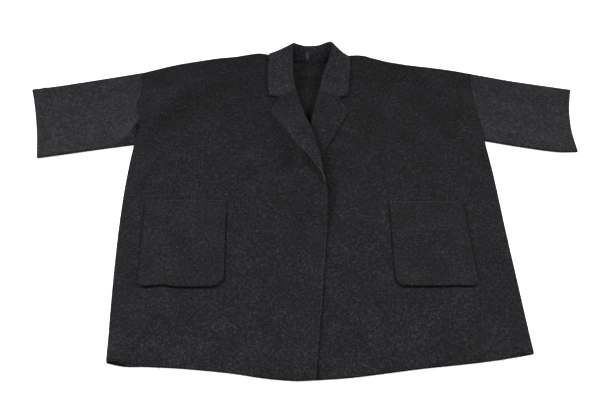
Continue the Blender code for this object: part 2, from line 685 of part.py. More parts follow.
def build_loop(collection):
    """A narrow loop of cord, its two ends at the back neck seam, lying on the stand."""
    line = bpy.data.curves.new("hanger_loop", "CURVE")
    line.dimensions = "3D"
    line.bevel_depth = LOOP_CORD
    line.bevel_resolution = 1
    line.use_fill_caps = True
    turns = 10
    spots = [(-1, 0.1), (-1, 0.5)]
    for i in range(turns + 1):
        around = math.pi * i / turns
        spots.append((-math.cos(around), 0.9 + 0.1 * math.sin(around)))
    spots += [(1, 0.5), (1, 0.1)]
    spline = line.splines.new("POLY")
    spline.points.add(len(spots) - 1)
    for point, (across, along) in zip(spline.points, spots):
        y = BACK_NECK + 0.004 + LOOP_LENGTH * along
        point.co = (LOOP_X + LOOP_HALF * across, y, LOOP_FOOT + LOOP_RISE * along, 1.0)
    piece = bpy.data.objects.new("hanger_loop", line)
    collection.objects.link(piece)
    line.materials.append(cloth_material("loop_cord", LOOP_COLOUR, 0.8))


def main():
    for old in list(bpy.data.objects):
        bpy.data.objects.remove(old, do_unlink=True)
    coat = bpy.data.collections.new("wool_coat")
    bpy.context.scene.collection.children.link(coat)
    build_back(coat)
    for side in ("right", "left"):
        build_front(side, coat)
        build_sleeve(side, coat)
    for pocket in POCKETS:
        build_pocket(pocket, coat)
    build_collar(coat)
    build_loop(coat)


main()
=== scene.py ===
"""Wide wool coat, laid flat and face up: the pieces that show, their cloth, and the studio.

Every piece of cloth is a thin shell on the same form as its solid, made from the same named sizes on a
finer grid, with the small unevenness of laid cloth added. Metres, +Z up, the collar towards +Y.
"""
import math
import random
from collections import namedtuple
from functools import partial

import bmesh
import bpy
from mathutils import Euler, Matrix, Vector, noise


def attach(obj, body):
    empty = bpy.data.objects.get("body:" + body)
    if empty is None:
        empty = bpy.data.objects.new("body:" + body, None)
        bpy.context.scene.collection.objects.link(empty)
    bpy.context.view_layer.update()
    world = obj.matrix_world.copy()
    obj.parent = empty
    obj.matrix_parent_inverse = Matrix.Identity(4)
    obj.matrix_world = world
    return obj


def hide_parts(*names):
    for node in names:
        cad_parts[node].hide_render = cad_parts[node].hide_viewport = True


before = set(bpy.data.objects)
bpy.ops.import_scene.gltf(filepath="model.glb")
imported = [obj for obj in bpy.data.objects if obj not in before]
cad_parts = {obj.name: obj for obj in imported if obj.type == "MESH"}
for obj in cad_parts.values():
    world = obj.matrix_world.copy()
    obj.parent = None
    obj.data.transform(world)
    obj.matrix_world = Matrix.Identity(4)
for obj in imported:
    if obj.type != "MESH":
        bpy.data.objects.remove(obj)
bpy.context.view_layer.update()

# Sides are the wearer's: the right one lies towards -X, so inwards from it is +X
INWARD = {"right": 1, "left": -1}

# Cloth
WALL = 0.0020           # thickness of the melton
GAP = 0.0003            # between pieces that are sewn together
AIR = 0.0008            # between layers that only lie on each other

# How the cloth turns
SEAM_RISE = 0.0008      # from the back up to the seam edge of a front
EDGE_RISE = 0.0036      # rise of the upper layer at a side or shoulder fold
EDGE_SPREAD = 0.070     # distance in which that swelling dies out
ROLL_RADIUS = 0.0027    # of the lapels where they turn over
ROLL_ARC = math.pi * ROLL_RADIUS
ROLL_SHARE = 0.65       # of a narrow edge, the most that turns
LEAF_LIES = 2.2         # a lapel that has turned this far begins to rest on the front
LEAF_LIES_SPAN = 0.9    # and rests on it altogether after this much more
EDGE_CURL = 0.30        # angle by which the front edge that shows stands up below the lapel
HIDDEN_CURL = 0.04      # and the one that lies pressed under it
LAPEL_SETTLE = 0.030    # a lapel this wide comes down on the front

# The right front over the left one's edge, and in a ridge over its lapel
OVERLAP_RISE = 0.0027
OVERLAP_START = 0.042   # the rise starts this far before the left front's roll line
OVERLAP_SLOPE = 0.026
RIDGE_HEIGHT = 0.0140
RIDGE_FADE = 0.150      # it grows over this length below y = 0
RIDGE_SIDE = 0.030      # how far its slope reaches
RIDGE_END = 0.20        # level where it goes down again
RIDGE_END_FADE = 0.06

# Levels, along Y, that the rows of the body pass through at its sides
Level = namedtuple("Level", "row right left")
LEVELS = (
    Level(0, -0.4180, -0.4010),     # hem
    Level(1, -0.0100, -0.0100),     # foot of the lapels
    Level(2, 0.1360, 0.1480),       # underarm
    Level(3, 0.3750, 0.3715),       # shoulder
)
INSET_ROWS = 0.014      # the side seam's inset gives way to the armhole's in this part of a row
SHOULDER_BUNCH = 1.4    # how the rows follow the shoulder's slope, more as they near it
HEM_MIDDLE = -0.4580    # levels of the same rows at the roll lines
LAPEL_FOOT = -0.0100
GORGE = 0.3000
NECK = 0.4220

# Outline of the body, seen from above
Side = namedtuple("Side", "y right left")
SIDES = (
    Side(-0.418, -0.4260, 0.4520),
    Side(-0.250, -0.4375, 0.4450),
    Side(-0.080, -0.4445, 0.4375),
    Side(0.050, -0.4440, 0.4335),
    Side(0.145, -0.4390, 0.4270),
)
Armhole = namedtuple("Armhole", "part right left")
ARMHOLES = (
    Armhole(0.00, -0.4390, 0.4270),
    Armhole(0.18, -0.4385, 0.4240),
    Armhole(0.33, -0.4345, 0.4201),
    Armhole(0.52, -0.4425, 0.4165),
    Armhole(0.70, -0.4380, 0.4135),
    Armhole(1.00, -0.4425, 0.4165),
)
Edge = namedtuple("Edge", "x y")
HEM = (
    Edge(-0.4260, -0.4220),
    Edge(-0.3880, -0.4295),
    Edge(-0.3400, -0.4300),
    Edge(-0.2690, -0.4335),
    Edge(-0.1720, -0.4430),
    Edge(-0.1000, -0.4540),
    Edge(-0.0450, -0.4590),
    Edge(0.0000, -0.4575),
    Edge(0.0760, -0.4520),
    Edge(0.2190, -0.4335),
    Edge(0.3210, -0.4225),
    Edge(0.4080, -0.4105),
    Edge(0.4520, -0.4025),
)
RIGHT_SHOULDER = (
    Edge(-0.4425, 0.3750),
    Edge(-0.3840, 0.3945),
    Edge(-0.3480, 0.4055),
    Edge(-0.2480, 0.4270),
    Edge(-0.2040, 0.4325),
    Edge(-0.1600, 0.4420),
    Edge(-0.1400, 0.4435),
    Edge(-0.1150, 0.4380),
    Edge(-0.0750, 0.4220),
)
LEFT_SHOULDER = (
    Edge(0.0730, 0.4220),
    Edge(0.1000, 0.4335),
    Edge(0.1384, 0.4350),
    Edge(0.1638, 0.4275),
    Edge(0.1990, 0.4155),
    Edge(0.2348, 0.4070),
    Edge(0.2896, 0.3955),
    Edge(0.3710, 0.3820),
    Edge(0.4165, 0.3715),
)
NECK_EDGE = {"right": RIGHT_SHOULDER[-1], "left": LEFT_SHOULDER[0]}     # the shoulders end there
BACK_NECK = 0.4120      # level of the back neck seam at the middle
BACK_HEM = 0.0015       # the back's hem lies this far inside the fronts'

# Roll line of each front and the lapel that turns over on it: the roll line's place, the angle
# below the X direction in which the lapel lies, its width round the roll, and its lift off the front
Roll = namedtuple("Roll", "y x lean width lift")
RIGHT_ROLL = (
    Roll(-0.458, -0.0120, 0, 0.0120, 0.0),
    Roll(-0.368, -0.0036, 0, 0.0120, 0.0),
    Roll(-0.255, 0.0062, 0, 0.0120, 0.0),
    Roll(-0.160, 0.0138, 0, 0.0120, 0.0),
    Roll(-0.069, 0.0195, 0, 0.0120, 0.0),
    Roll(-0.010, 0.0205, 0, 0.0120, 0.0),
    Roll(0.032, 0.0205, 4, 0.0110, 0.0005),
    Roll(0.065, 0.0190, 8, 0.0215, 0.0055),
    Roll(0.100, 0.0125, 12, 0.0390, 0.0055),
    Roll(0.150, 0.0000, 20, 0.0546, 0.0050),
    Roll(0.200, -0.0145, 27, 0.0655, 0.0040),
    Roll(0.250, -0.0295, 35, 0.0795, 0.0030),
    Roll(0.300, -0.0430, 44, 0.0945, 0.0010),
)
LEFT_ROLL = (
    Roll(-0.458, -0.0380, 0, 0.0105, 0.0),
    Roll(-0.250, -0.0360, 0, 0.0105, 0.0),
    Roll(-0.030, -0.0340, 0, 0.0098, 0.0),
    Roll(0.000, -0.0335, 0, 0.0098, 0.0),
    Roll(0.032, -0.0310, 4, 0.0098, 0.0),
    Roll(0.065, -0.0255, 8, 0.0110, 0.0),
    Roll(0.100, -0.0190, 12, 0.0440, 0.0),
    Roll(0.150, -0.0095, 20, 0.0595, 0.0004),
    Roll(0.200, 0.0005, 27, 0.0730, 0.0010),
    Roll(0.250, 0.0105, 35, 0.0875, 0.0010),
    Roll(0.300, 0.0215, 39, 0.1017, 0.0010),
)
ROLLS = {"right": RIGHT_ROLL, "left": LEFT_ROLL}
ROLL_LIFT = 0.011       # the roll lines climb to the neck
ROLL_LIFT_REACH = 0.055
ROLL_LIFT_START = 0.06  # level where they begin to climb
ROLL_LIFT_CLIMB = 0.24
NECK_SETTLE = 0.075     # and come down to the shoulder seam in this distance
LAPEL_TURN_END = 0.072  # the lapels are folded flat above this level
NOTCH = 0.65            # the notch's place along a lapel's top edge
GORGE_BOW = 0.021       # how far the top edge bows up there
GORGE_BOW_START = 0.190 # level where the rows of a lapel begin to bow

# Collar, a section for each row: where its seam is (the level on a front's neckline, or the place
# across the back neck), its roll and leaf edge, where the roll faces and how far it leans up from
# level, and the place and height of the bend in the leaf
Section = namedtuple("Section", "seam_on seam rx ry rz ex ey ez face up knee knee_z")
COLLAR = (
    Section("right", 0.322, -0.0460, 0.322, 0.0225, -0.1120, 0.316, 0.0090, 180, 55, 0.55, 0.004),
    Section("right", 0.350, -0.0500, 0.350, 0.0280, -0.1140, 0.343, 0.0120, 180, 35, 0.55, 0.006),
    Section("right", 0.385, -0.0505, 0.392, 0.0330, -0.1140, 0.390, 0.0150, 175, 15, 0.55, 0.007),
    Section("right", 0.408, -0.0505, 0.425, 0.0360, -0.1130, 0.425, 0.0155, 160, 5, 0.55, 0.007),
    Section("back", -0.0720, -0.0500, 0.4440, 0.0370, -0.1120, 0.4425, 0.0055, 140, 0, 0.60, 0.016),
    Section("back", -0.0600, -0.0460, 0.4515, 0.0350, -0.1000, 0.437, 0.0011, 120, -10, 0.70, -0.0040),
    Section("back", -0.0420, -0.0340, 0.4525, 0.0290, -0.0720, 0.407, 0.0011, 105, -20, 0.85, -0.0045),
    Section("back", -0.0200, -0.0170, 0.4540, 0.0220, -0.0350, 0.396, 0.0011, 95, -25, 0.90, -0.0045),
    Section("back", 0.0000, 0.0000, 0.4560, 0.0200, 0.0000, 0.393, 0.0011, 90, -25, 0.90, -0.0045),
    Section("back", 0.0200, 0.0200, 0.4560, 0.0220, 0.0330, 0.395, 0.0011, 85, -25, 0.90, -0.0045),
    Section("back", 0.0420, 0.0385, 0.4565, 0.0310, 0.0680, 0.406, 0.0011, 75, -20, 0.85, -0.0045),
    Section("back", 0.0590, 0.0510, 0.4535, 0.0380, 0.0930, 0.436, 0.0011, 60, -10, 0.70, -0.0040),
    Section("back", 0.0700, 0.0550, 0.4450, 0.0395, 0.0990, 0.4330, 0.0060, 40, 0, 0.60, 0.014),
    Section("left", 0.408, 0.0540, 0.425, 0.0375, 0.1025, 0.419, 0.0165, 20, 5, 0.55, 0.006),
    Section("left", 0.385, 0.0435, 0.385, 0.0320, 0.1025, 0.390, 0.0150, 5, 15, 0.55, 0.007),
    Section("left", 0.350, 0.0315, 0.350, 0.0270, 0.0985, 0.346, 0.0120, 0, 35, 0.55, 0.006),
    Section("left", 0.322, 0.0258, 0.322, 0.0220, 0.0965, 0.318, 0.0090, 0, 55, 0.55, 0.004),
)
COLLAR_CORNERS = {"right": (-0.1080, 0.2930), "left": (0.0927, 0.2927)}
STAND_STEPS = 4         # points of a section from the seam up to the roll
STAND_HANDLE = 0.3      # how straight the stand leaves its seam
STAND_LEAN = 0.8        # the least lean that its wall's thickness is reckoned with
LEAF_PARTS = (0.0, 0.06, 0.13, 0.21, 0.33, 0.47, 0.61, 0.73, 0.87, 1.0)
ROLL_HANDLE = 0.007     # how widely the collar turns at its roll
GORGE_GAP = 0.0002      # from the lapel's top edge to the collar's end
GORGE_STEP = 0.0004     # and from the foot of the neckline
GORGE_SEAM = 0.007      # the collar's end starts this far above the gorge
CORNER_AIR = 0.001      # under the collar's corners
LEAF_AIR = 0.0018       # under the collar's leaf where it lies on a front
LEAF_START = 0.004      # this far from the roll line the leaf begins to lie on it
LEAF_DROP = 0.006       # the leaf comes off the fronts this near the shoulders
COLLAR_LEAF_START = 0.345   # the back lies over the collar's leaf above this level
COLLAR_LEAF_HALF = 0.118
COLLAR_LEAF_FADE = 0.050
COLLAR_LEAF_RAMP = 0.020
FLOOR_AIR = 0.0001      # under the leaf behind the neck
NECK_HALF = 0.072       # the stand's foot is on the back at the shoulders, and meets its edge between

# Sleeves: top and bottom folds from the armhole to the cuff
Fold = namedtuple("Fold", "part top_x top_y low_x low_y")
RIGHT_SLEEVE = (
    Fold(0.0, -0.4425, 0.3750, -0.4390, 0.1360),
    Fold(0.4, -0.5560, 0.3500, -0.5290, 0.1210),
    Fold(0.8, -0.6680, 0.3265, -0.6200, 0.1045),
    Fold(1.0, -0.7255, 0.3170, -0.6695, 0.0960),
)
LEFT_SLEEVE = (
    Fold(0.0, 0.4165, 0.3715, 0.4270, 0.1480),
    Fold(0.4, 0.5160, 0.3470, 0.5100, 0.1300),
    Fold(0.8, 0.6200, 0.3260, 0.6000, 0.1145),
    Fold(1.0, 0.6725, 0.3160, 0.6490, 0.1145),
)
SLEEVES = {"right": RIGHT_SLEEVE, "left": LEFT_SLEEVE}
CUFF_BOW = {"right": 0.004, "left": -0.010}

# Patch pockets: corners by level, with round lower corners
Pocket = namedtuple("Pocket", "side inner_top inner_low outer_top outer_low top low "
                              "inner_round outer_round pucker")
POCKETS = (
    Pocket("right", -0.2018, -0.1960, -0.3905, -0.3850, -0.0270, -0.2510, 0.030, 0.018, 0.0045),
    Pocket("left", 0.1782, 0.1791, 0.3515, 0.3600, -0.0310, -0.2490, 0.022, 0.018, 0.0015),
)
ROUND_FROM = 0.3        # the outer corner's rounding gives way to the inner one's from here across
ROUND_SPAN = 0.4
ROUND_REACH = 2.5       # a round corner bends the columns this many times its size up
PUCKER_AT = 0.27        # where the lower edge draws up, from the outer side, and how widely
PUCKER_HALF = 0.12
PUCKER_FADE = 4         # how soon it dies out up the pocket
SHADE_PAINTED_COLUMNS = 2     # at the outer side, faces along the sewn edge take painted shade
SHADE_PAINTED_FROM = 2        # from this row down
POCKET_RISE = 0.0010    # on the allowances turned in under their edges
POCKET_EDGE = (0.0, 0.006, 0.012, 0.022, 0.035, 0.05, 0.07, 0.11)
POCKET_DOWN = (0.0, 0.72, 0.96, 1.0)

# Larger folds of the laid cloth: soft ridges from the shoulder to the underarm, and the lifted hem
RIDGE_TAPER = 0.4       # part of a ridge's length in which each end rises
Ridge = namedtuple("Ridge", "side x0 y0 x1 y1 half_width height")
RIDGES = (
    Ridge("right", -0.215, 0.375, -0.385, 0.200, 0.030, 0.0040),
    Ridge("right", -0.330, 0.330, -0.400, 0.235, 0.022, 0.0025),
    Ridge("left", 0.215, 0.345, 0.370, 0.200, 0.030, 0.0040),
    Ridge("left", 0.330, 0.300, 0.395, 0.240, 0.022, 0.0025),
)
Lift = namedtuple("Lift", "side x y half_x half_y height curl")
HEM_LIFTS = (
    Lift("right", -0.404, -0.419, 0.031, 0.055, 0.0120, 0.0062),
    Lift("left", 0.432, -0.404, 0.022, 0.040, 0.0075, 0.0036),
    Lift("right", -0.030, -0.458, 0.060, 0.060, 0.0020, 0.0),
)

# Hanger loop, on the inside of the stand
LOOP_X = -0.0105
LOOP_INSET = 0.004      # above the back neck seam
LOOP_HALF = 0.0017
LOOP_LENGTH = 0.018
LOOP_CORD = 0.0008
LOOP_FOOT = 0.0116      # height of its foot, and how far it rises
LOOP_RISE = 0.0086
LOOP_LEG = ((1.0, 0.1), (0.9, 0.3), (1.0, 0.6))     # a leg's half width and place along, as parts
LOOP_TURN = 0.9         # where its round end begins
LOOP_STEPS = 16

# Creases of the laid cloth, from where each starts to where it ends. The high ones are steeper towards the
# coat's middle, but for the one from the right lapel's point, which carries the lapel's outer edge.
CREASE_TAPER = 0.35     # part of the length in which each end rises
CREASE_WANDER = 0.5     # how far it wanders, as part of its narrower side
CREASE_WAVES = 5.0
CREASE_SHIFT = 40       # sets where each begins to wander
CREASE_NARROW = 0.75    # width at its start, and how much it widens
CREASE_WIDEN = 0.5
Crease = namedtuple("Crease", "side x0 y0 x1 y1 inner_width outer_width height")
CREASES = (
    Crease("right", -0.285, 0.395, -0.425, 0.130, 0.034, 0.075, 0.0100),
    Crease("right", -0.150, 0.395, -0.290, 0.300, 0.020, 0.020, 0.0016),
    Crease("right", -0.360, 0.125, -0.436, -0.020, 0.010, 0.016, 0.0030),
    Crease("right", -0.120, 0.110, -0.230, 0.020, 0.030, 0.030, 0.0010),
    Crease("right", -0.325, -0.260, -0.390, -0.420, 0.010, 0.026, 0.0030),
    Crease("right", -0.250, -0.100, -0.370, -0.170, 0.045, 0.040, 0.0030),
    Crease("right", -0.075, -0.060, -0.020, -0.300, 0.030, 0.030, 0.0020),
    Crease("right", -0.109, 0.262, 0.030, 0.042, 0.045, 0.020, 0.0110),
    Crease("left", 0.225, 0.375, 0.395, 0.270, 0.026, 0.050, 0.0065),
    Crease("left", 0.393, 0.330, 0.352, 0.105, 0.012, 0.040, 0.0080),
    Crease("left", 0.352, 0.135, 0.298, 0.025, 0.008, 0.016, 0.0030),
    Crease("left", 0.425, 0.040, 0.430, -0.260, 0.026, 0.020, 0.0035),
    Crease("left", 0.140, 0.080, 0.110, -0.160, 0.030, 0.030, 0.0012),
    Crease("left", 0.220, -0.100, 0.330, -0.180, 0.045, 0.040, 0.0025),
    Crease("left", 0.250, -0.270, 0.330, -0.400, 0.026, 0.026, 0.0014),
    Crease("right", -0.470, 0.340, -0.640, 0.300, 0.012, 0.012, 0.0012),
    Crease("right", -0.432, 0.225, -0.472, 0.100, 0.010, 0.018, 0.0095),
    Crease("right", -0.460, 0.180, -0.620, 0.150, 0.016, 0.016, 0.0014),
    Crease("right", -0.694, 0.365, -0.684, 0.250, 0.004, 0.006, 0.0028),
    Crease("left", 0.430, 0.190, 0.660, 0.125, 0.012, 0.012, 0.0016),
    Crease("left", 0.440, 0.320, 0.600, 0.290, 0.016, 0.016, 0.0012),
)
Relief = namedtuple("Relief", "height waves seed")
RELIEFS = (Relief(0.0007, 16, 3.1), Relief(0.0002, 60, 7.7))
RELIEF_START = 0.03     # it grows over this distance from the folds

# Threads, fibres and stitches
THREAD = 0.0006
STITCH_LENGTH = 0.0034
STITCH_PITCH = 0.0046
STITCH_INSET = 0.0100
STITCH_START = 0.012    # parts of a pocket's height: above the first stitch, and at the round corners
STITCH_CORNER = 0.1
PATH_STEPS = 60
BACK_HEM_STEPS = 120
THREAD_STEPS = 10
FUZZ = 0.00022
FUZZ_LENGTH = 0.0030
FUZZ_SHORTEST = 0.0005
FUZZ_ROOT = 0.0004      # of a fibre, inside the cloth
FUZZ_APART = 0.0010
FUZZ_BARE = 0.25        # part of the places that have none
FUZZ_UP = 0.5           # how much they stand up, or lie down
FUZZ_SPREAD = 0.8       # part of the wall that they grow from
FUZZ_BEND = 0.3
FUZZ_SEED = 11
LooseEnd = namedtuple("LooseEnd", "x y z heading length curl")
LOOSE_ENDS = (
    LooseEnd(-0.7010, 0.2050, 0.0030, 175, 0.0090, -30),
    LooseEnd(-0.6880, 0.1690, 0.0030, 205, 0.0080, 50),
    LooseEnd(0.6590, 0.2510, 0.0030, 5, 0.0140, 40),
    LooseEnd(0.6590, 0.2350, 0.0030, -55, 0.0170, -40),
    LooseEnd(0.6530, 0.2020, 0.0030, 10, 0.0070, 80),
    LooseEnd(0.6480, 0.1210, 0.0030, 0, 0.0170, -25),
    LooseEnd(-0.0100, -0.4600, 0.0030, -95, 0.0120, 40),
    LooseEnd(0.1200, -0.4490, 0.0030, -85, 0.0150, -35),
    LooseEnd(0.4120, -0.4040, 0.0030, -90, 0.0110, 30),
    LooseEnd(0.3910, -0.4080, 0.0030, -100, 0.0110, -50),
    LooseEnd(-0.3180, -0.4290, 0.0030, -90, 0.0090, 40),
    LooseEnd(-0.0870, -0.4560, 0.0030, -80, 0.0080, -60),
)

# Patterns of the cloth, real sizes drawn coarser where they would not show
TUFT = 0.0043           # felted tufts, really 2 mm
PATCH = 0.0600          # lighter and darker drifts of fibre
HAIR = 0.0018           # single fibres, really 0.03 mm
THREAD_ACROSS = 0.0028  # threads of the weave, really 1 mm
THREAD_ALONG = 0.0075   # how far one thread shows
PATCH_SHOWS = 0.30
GRAIN_LOW = 1.165       # the summed patterns' values that are darkest and lightest
GRAIN_HIGH = 2.195
HAIR_SHOWS = 0.5
GRAIN_BUMP = 0.55
GRAIN_DEPTH = 0.0011
THREAD_TWIST = 0.0012
TWIST_BUMP = 0.3
TWIST_DEPTH = 0.0003

# Studio
CAMERA_LENS = 42.0      # in mm, as is the sensor's width
CAMERA_SENSOR = 36.0
CAMERA_PLACE = (-0.03, -0.913, 1.381)
CAMERA_TILT = 32.0      # from straight down
FLOOR_HALF = 6.0
FLOOR_BELOW = 0.0002
Light = namedtuple("Light", "name x y z aim_x aim_y width depth beam power")
LIGHTS = (
    Light("left_softbox", -2.1, 1.2, 1.5, 0.0, -1.5, 1.5, 0.9, 75, 29),
    Light("right_softbox", 2.2, 1.4, 1.5, 0.0, -1.5, 1.5, 0.9, 75, 27),
    Light("front_softbox", 0.0, -2.3, 0.95, 0.0, -0.2, 1.4, 0.5, 100, 8),
)
AMBIENT = 0.10
PAPER_CLOUD = 1 / 3
FLOOR_GLOW = 0.85       # the paper lies on a light table, as for a cut-out

# Rows and columns of the cloth grids, as parts of the whole
SLIM = (0.002, 0.012, 0.035, 0.08, 0.17)
ARM_PARTS = (0.0,) + SLIM + (0.33, 0.5, 0.67) + tuple(1 - s for s in reversed(SLIM)) + (1.0,)
UNDER_PARTS = (0.008, 0.08, 0.17, 0.33, 0.5, 0.67, 0.83, 0.92, 0.992)
BACK_PARTS = (0.008, 0.08, 0.17, 0.33, 0.5, 0.67, 0.75, 0.83, 0.875, 0.92, 0.992)
BODY_ROWS = (0.0, 0.06, 0.25, 0.5, 0.75)
FINE_EDGE = (0.0, 0.0006, 0.0014, 0.0028, 0.0046, 0.0066, 0.0085, 0.012, 0.017, 0.025, 0.037)
FINE_ARM = (0.0, 0.0015, 0.004, 0.008, 0.013, 0.019, 0.027, 0.04, 0.08)
LEAF_COLUMNS = (0.0, NOTCH, 1.0)
STEP = 0.0045           # between points of the grids
BACK_STEP = 0.009
FOLD_STEP = 0.0008
TOUCHING = 1e-6         # points this close are the same
SHOULDER_TURN = 2.96    # rows from here up turn over at the shoulder
UNDERARM_TURN = 2.012   # and those up to here at the underarm
BODY_LENGTH = 0.41      # lengths that these steps divide, near enough: hem to lapels
CHEST_LENGTH = 0.14     # lapels to underarm
ARM_LENGTH = 0.24       # the armhole and the sleeve's depth
FRONT_WIDTH = 0.42
LAPEL_WIDTH = 0.09
SLEEVE_LENGTH = 0.28
POCKET_WIDTH = 0.19
POCKET_HEIGHT = 0.22
ARC_FINE = 12
COLLAR_FINE = 8
COLLAR_ACROSS = 4
CHEST_ROWS = (1.0, 1.07, 1.14, 1.21, 1.28, 1.36, 1.44, 1.53, 1.64, 1.76, 1.88, 1.97)
CHEST_ROWS += tuple(2 + part for part in ARM_PARTS[:7])
NECK_ROWS = tuple(2 + part for part in ARM_PARTS[7:])
NECK_LEVELS = (0.3260, 0.3530, 0.3790, 0.4010, 0.4135, 0.4191, 0.4215, NECK)
FRONT_ROWS = tuple((row, HEM_MIDDLE + (LAPEL_FOOT - HEM_MIDDLE) * row) for row in BODY_ROWS)
FRONT_ROWS += tuple((row, LAPEL_FOOT + (GORGE - LAPEL_FOOT) * i / (len(CHEST_ROWS) - 1))
                    for i, row in enumerate(CHEST_ROWS))
GORGE_ROW = FRONT_ROWS[-1]
FRONT_ROWS += tuple(zip(NECK_ROWS, NECK_LEVELS))
PANEL_PARTS = (0.05, 0.1, 0.17, 0.27, 0.39, 0.51, 0.61, 0.69, 0.755, 0.82, 0.88, 0.935, 0.975, 1.0)
ARC_STEPS = 6
LAPEL_PARTS = (0.12, 0.3, 0.5, NOTCH, 0.83, 1.0)


def mix(a, b, part):
    return a + (b - a) * part


def smooth(part):
    part = min(max(part, 0.0), 1.0)
    return part * part * (3 - 2 * part)


def follow(rows, key, value, at):
    """A table's column on a smooth curve through its rows, where the key column equals at."""
    keys = [getattr(row, key) for row in rows]
    values = [getattr(row, value) for row in rows]
    at = min(max(at, keys[0]), keys[-1])
    low = max(i for i in range(len(keys) - 1) if keys[i] <= at)

    def slope(i):
        before, after = max(i - 1, 0), min(i + 1, len(keys) - 1)
        return (values[after] - values[before]) / (keys[after] - keys[before])

    span = keys[low + 1] - keys[low]
    t = (at - keys[low]) / span
    start, end = slope(low) * span, slope(low + 1) * span
    rise = values[low + 1] - values[low]
    return values[low] + t * start + t * t * (3 * rise - 2 * start - end) + t ** 3 * (start + end - 2 * rise)


def level(side, row):
    """Level along Y of a grid row at a side, straight between the named levels."""
    low = min(int(row), len(LEVELS) - 2)
    return mix(getattr(LEVELS[low], side), getattr(LEVELS[low + 1], side), row - low)


def top_edge(x):
    """Shoulder edges and, between them, the back neck."""
    neck_right, neck_left = NECK_EDGE["right"], NECK_EDGE["left"]
    if x <= neck_right.x:
        return follow(RIGHT_SHOULDER, "x", "y", x)
    if x >= neck_left.x:
        return follow(LEFT_SHOULDER, "x", "y", x)
    across = (x - neck_right.x) / (neck_left.x - neck_right.x)
    dip = math.sin(math.pi * across)
    return mix(neck_right.y, BACK_NECK, dip)


def side_point(side, row):
    """Point of the outline at a grid row, up the side seam and then up the armhole."""
    y = level(side, row)
    if row <= 2:
        return follow(SIDES, "y", side, y), y
    return follow(ARMHOLES, "part", side, row - 2), y


def back_underside(x, y):
    """The back rests flat, and lies over the collar's leaf at the neck."""
    along = smooth((y - COLLAR_LEAF_START) / COLLAR_LEAF_RAMP)
    across = 1 - smooth((abs(x) - COLLAR_LEAF_HALF) / COLLAR_LEAF_FADE)
    return along * across * (WALL + 2 * GAP)


def beside(line, x, y):
    """How far along a ridge or crease a place is, as a part, and its distance off to one side."""
    run = Vector((line.x1 - line.x0, line.y1 - line.y0))
    to = Vector((x - line.x0, y - line.y0))
    return to.dot(run) / run.length_squared, (to.x * run.y - to.y * run.x) / run.length


def tapered(along, taper):
    """Full between the ends of a length, and down to nothing at each of them."""
    return smooth(along / taper) * smooth((1 - along) / taper)


def ridge_height(side, x, y):
    """Soft ridges, creases and lifted hem of a side."""
    total = 0.0
    for ridge in RIDGES:
        if ridge.side == side:
            along, off = beside(ridge, x, y)
            total += ridge.height * tapered(along, RIDGE_TAPER) * math.exp(-(off / ridge.half_width) ** 2)
    for lift in HEM_LIFTS:
        if lift.side == side:
            reach = ((x - lift.x) / lift.half_x) ** 2 + ((y - lift.y) / lift.half_y) ** 2
            total += lift.height * math.exp(-reach)
    for crease in CREASES:
        if crease.side == side:
            total += crease_height(crease, x, y)
    return total


def crease_height(crease, x, y):
    """Height of a soft, uneven crease that fades at both ends; off is above 0 on its outer side."""
    along, off = beside(crease, x, y)
    if along <= 0 or along >= 1:
        return 0.0
    off *= INWARD[crease.side]
    narrower = min(crease.inner_width, crease.outer_width)
    off += narrower * CREASE_WANDER * math.sin(along * CREASE_WAVES + crease.x0 * CREASE_SHIFT)
    width = (crease.inner_width if off < 0 else crease.outer_width) * (CREASE_NARROW + CREASE_WIDEN * along)
    return crease.height * tapered(along, CREASE_TAPER) * math.exp(-(off / width) ** 2)


def relief(x, y):
    """The slight unevenness of thick cloth that lies on a table; never below zero."""
    total = 0.0
    for layer in RELIEFS:
        wave = noise.noise(Vector((x * layer.waves, y * layer.waves, layer.seed)))
        total += layer.height * (0.5 + 0.5 * wave)
    return total


def swelling(distance, lift=0.0):
    """Height over the seam of the upper layer, at a distance from a folded edge."""
    rest = AIR + WALL / 2 - SEAM_RISE
    peak = EDGE_RISE + lift
    if distance < EDGE_RISE:
        return peak * math.sqrt(1 - (1 - distance / EDGE_RISE) ** 2)
    return mix(peak, rest + lift, smooth((distance - EDGE_RISE) / EDGE_SPREAD))


def edge_distance(side, x, y):
    """Distance to the folded edge: the side seam, the underarm or the shoulder."""
    outward = -INWARD[side]
    underarm_y = getattr(LEVELS[2], side)
    underarm_x = getattr(ARMHOLES[0], side)
    if y <= underarm_y:
        to_side = outward * (follow(SIDES, "y", side, y) - x) - WALL / 2
    else:
        to_side = math.hypot(x - underarm_x, y - underarm_y)
    neck = NECK_EDGE[side]
    if outward * (x - neck.x) >= 0:
        to_top = top_edge(x) - WALL / 2 - y
    else:
        to_top = math.hypot(x - neck.x, y - neck.y)
    return max(min(to_side, to_top), 0.0)


def front_height(side, x, y):
    """Middle of a front's wall above the floor."""
    over = back_underside(x, y) + WALL + SEAM_RISE
    distance = edge_distance(side, x, y)
    height = over + swelling(distance, ridge_height(side, x, y))
    height += relief(x, y) * smooth(distance / RELIEF_START)
    to_roll = INWARD[side] * (roll_place(side, y) - x)
    climb = smooth((y - ROLL_LIFT_START) / ROLL_LIFT_CLIMB) * smooth((top_edge(x) - y) / NECK_SETTLE)
    height += ROLL_LIFT * climb * math.exp(-(max(to_roll, 0.0) / ROLL_LIFT_REACH) ** 2)
    if side == "right":
        lower = follow(LEFT_ROLL, "y", "x", y)
        overlap = OVERLAP_RISE * smooth((x - lower + OVERLAP_START) / OVERLAP_SLOPE)
        ridge = smooth((x - lower + RIDGE_SIDE) / RIDGE_SIDE) * smooth((y + RIDGE_FADE) / RIDGE_FADE)
        ridge *= 1 - smooth((y - RIDGE_END) / RIDGE_END_FADE)
        height += max(overlap, RIDGE_HEIGHT * ridge)
    return height


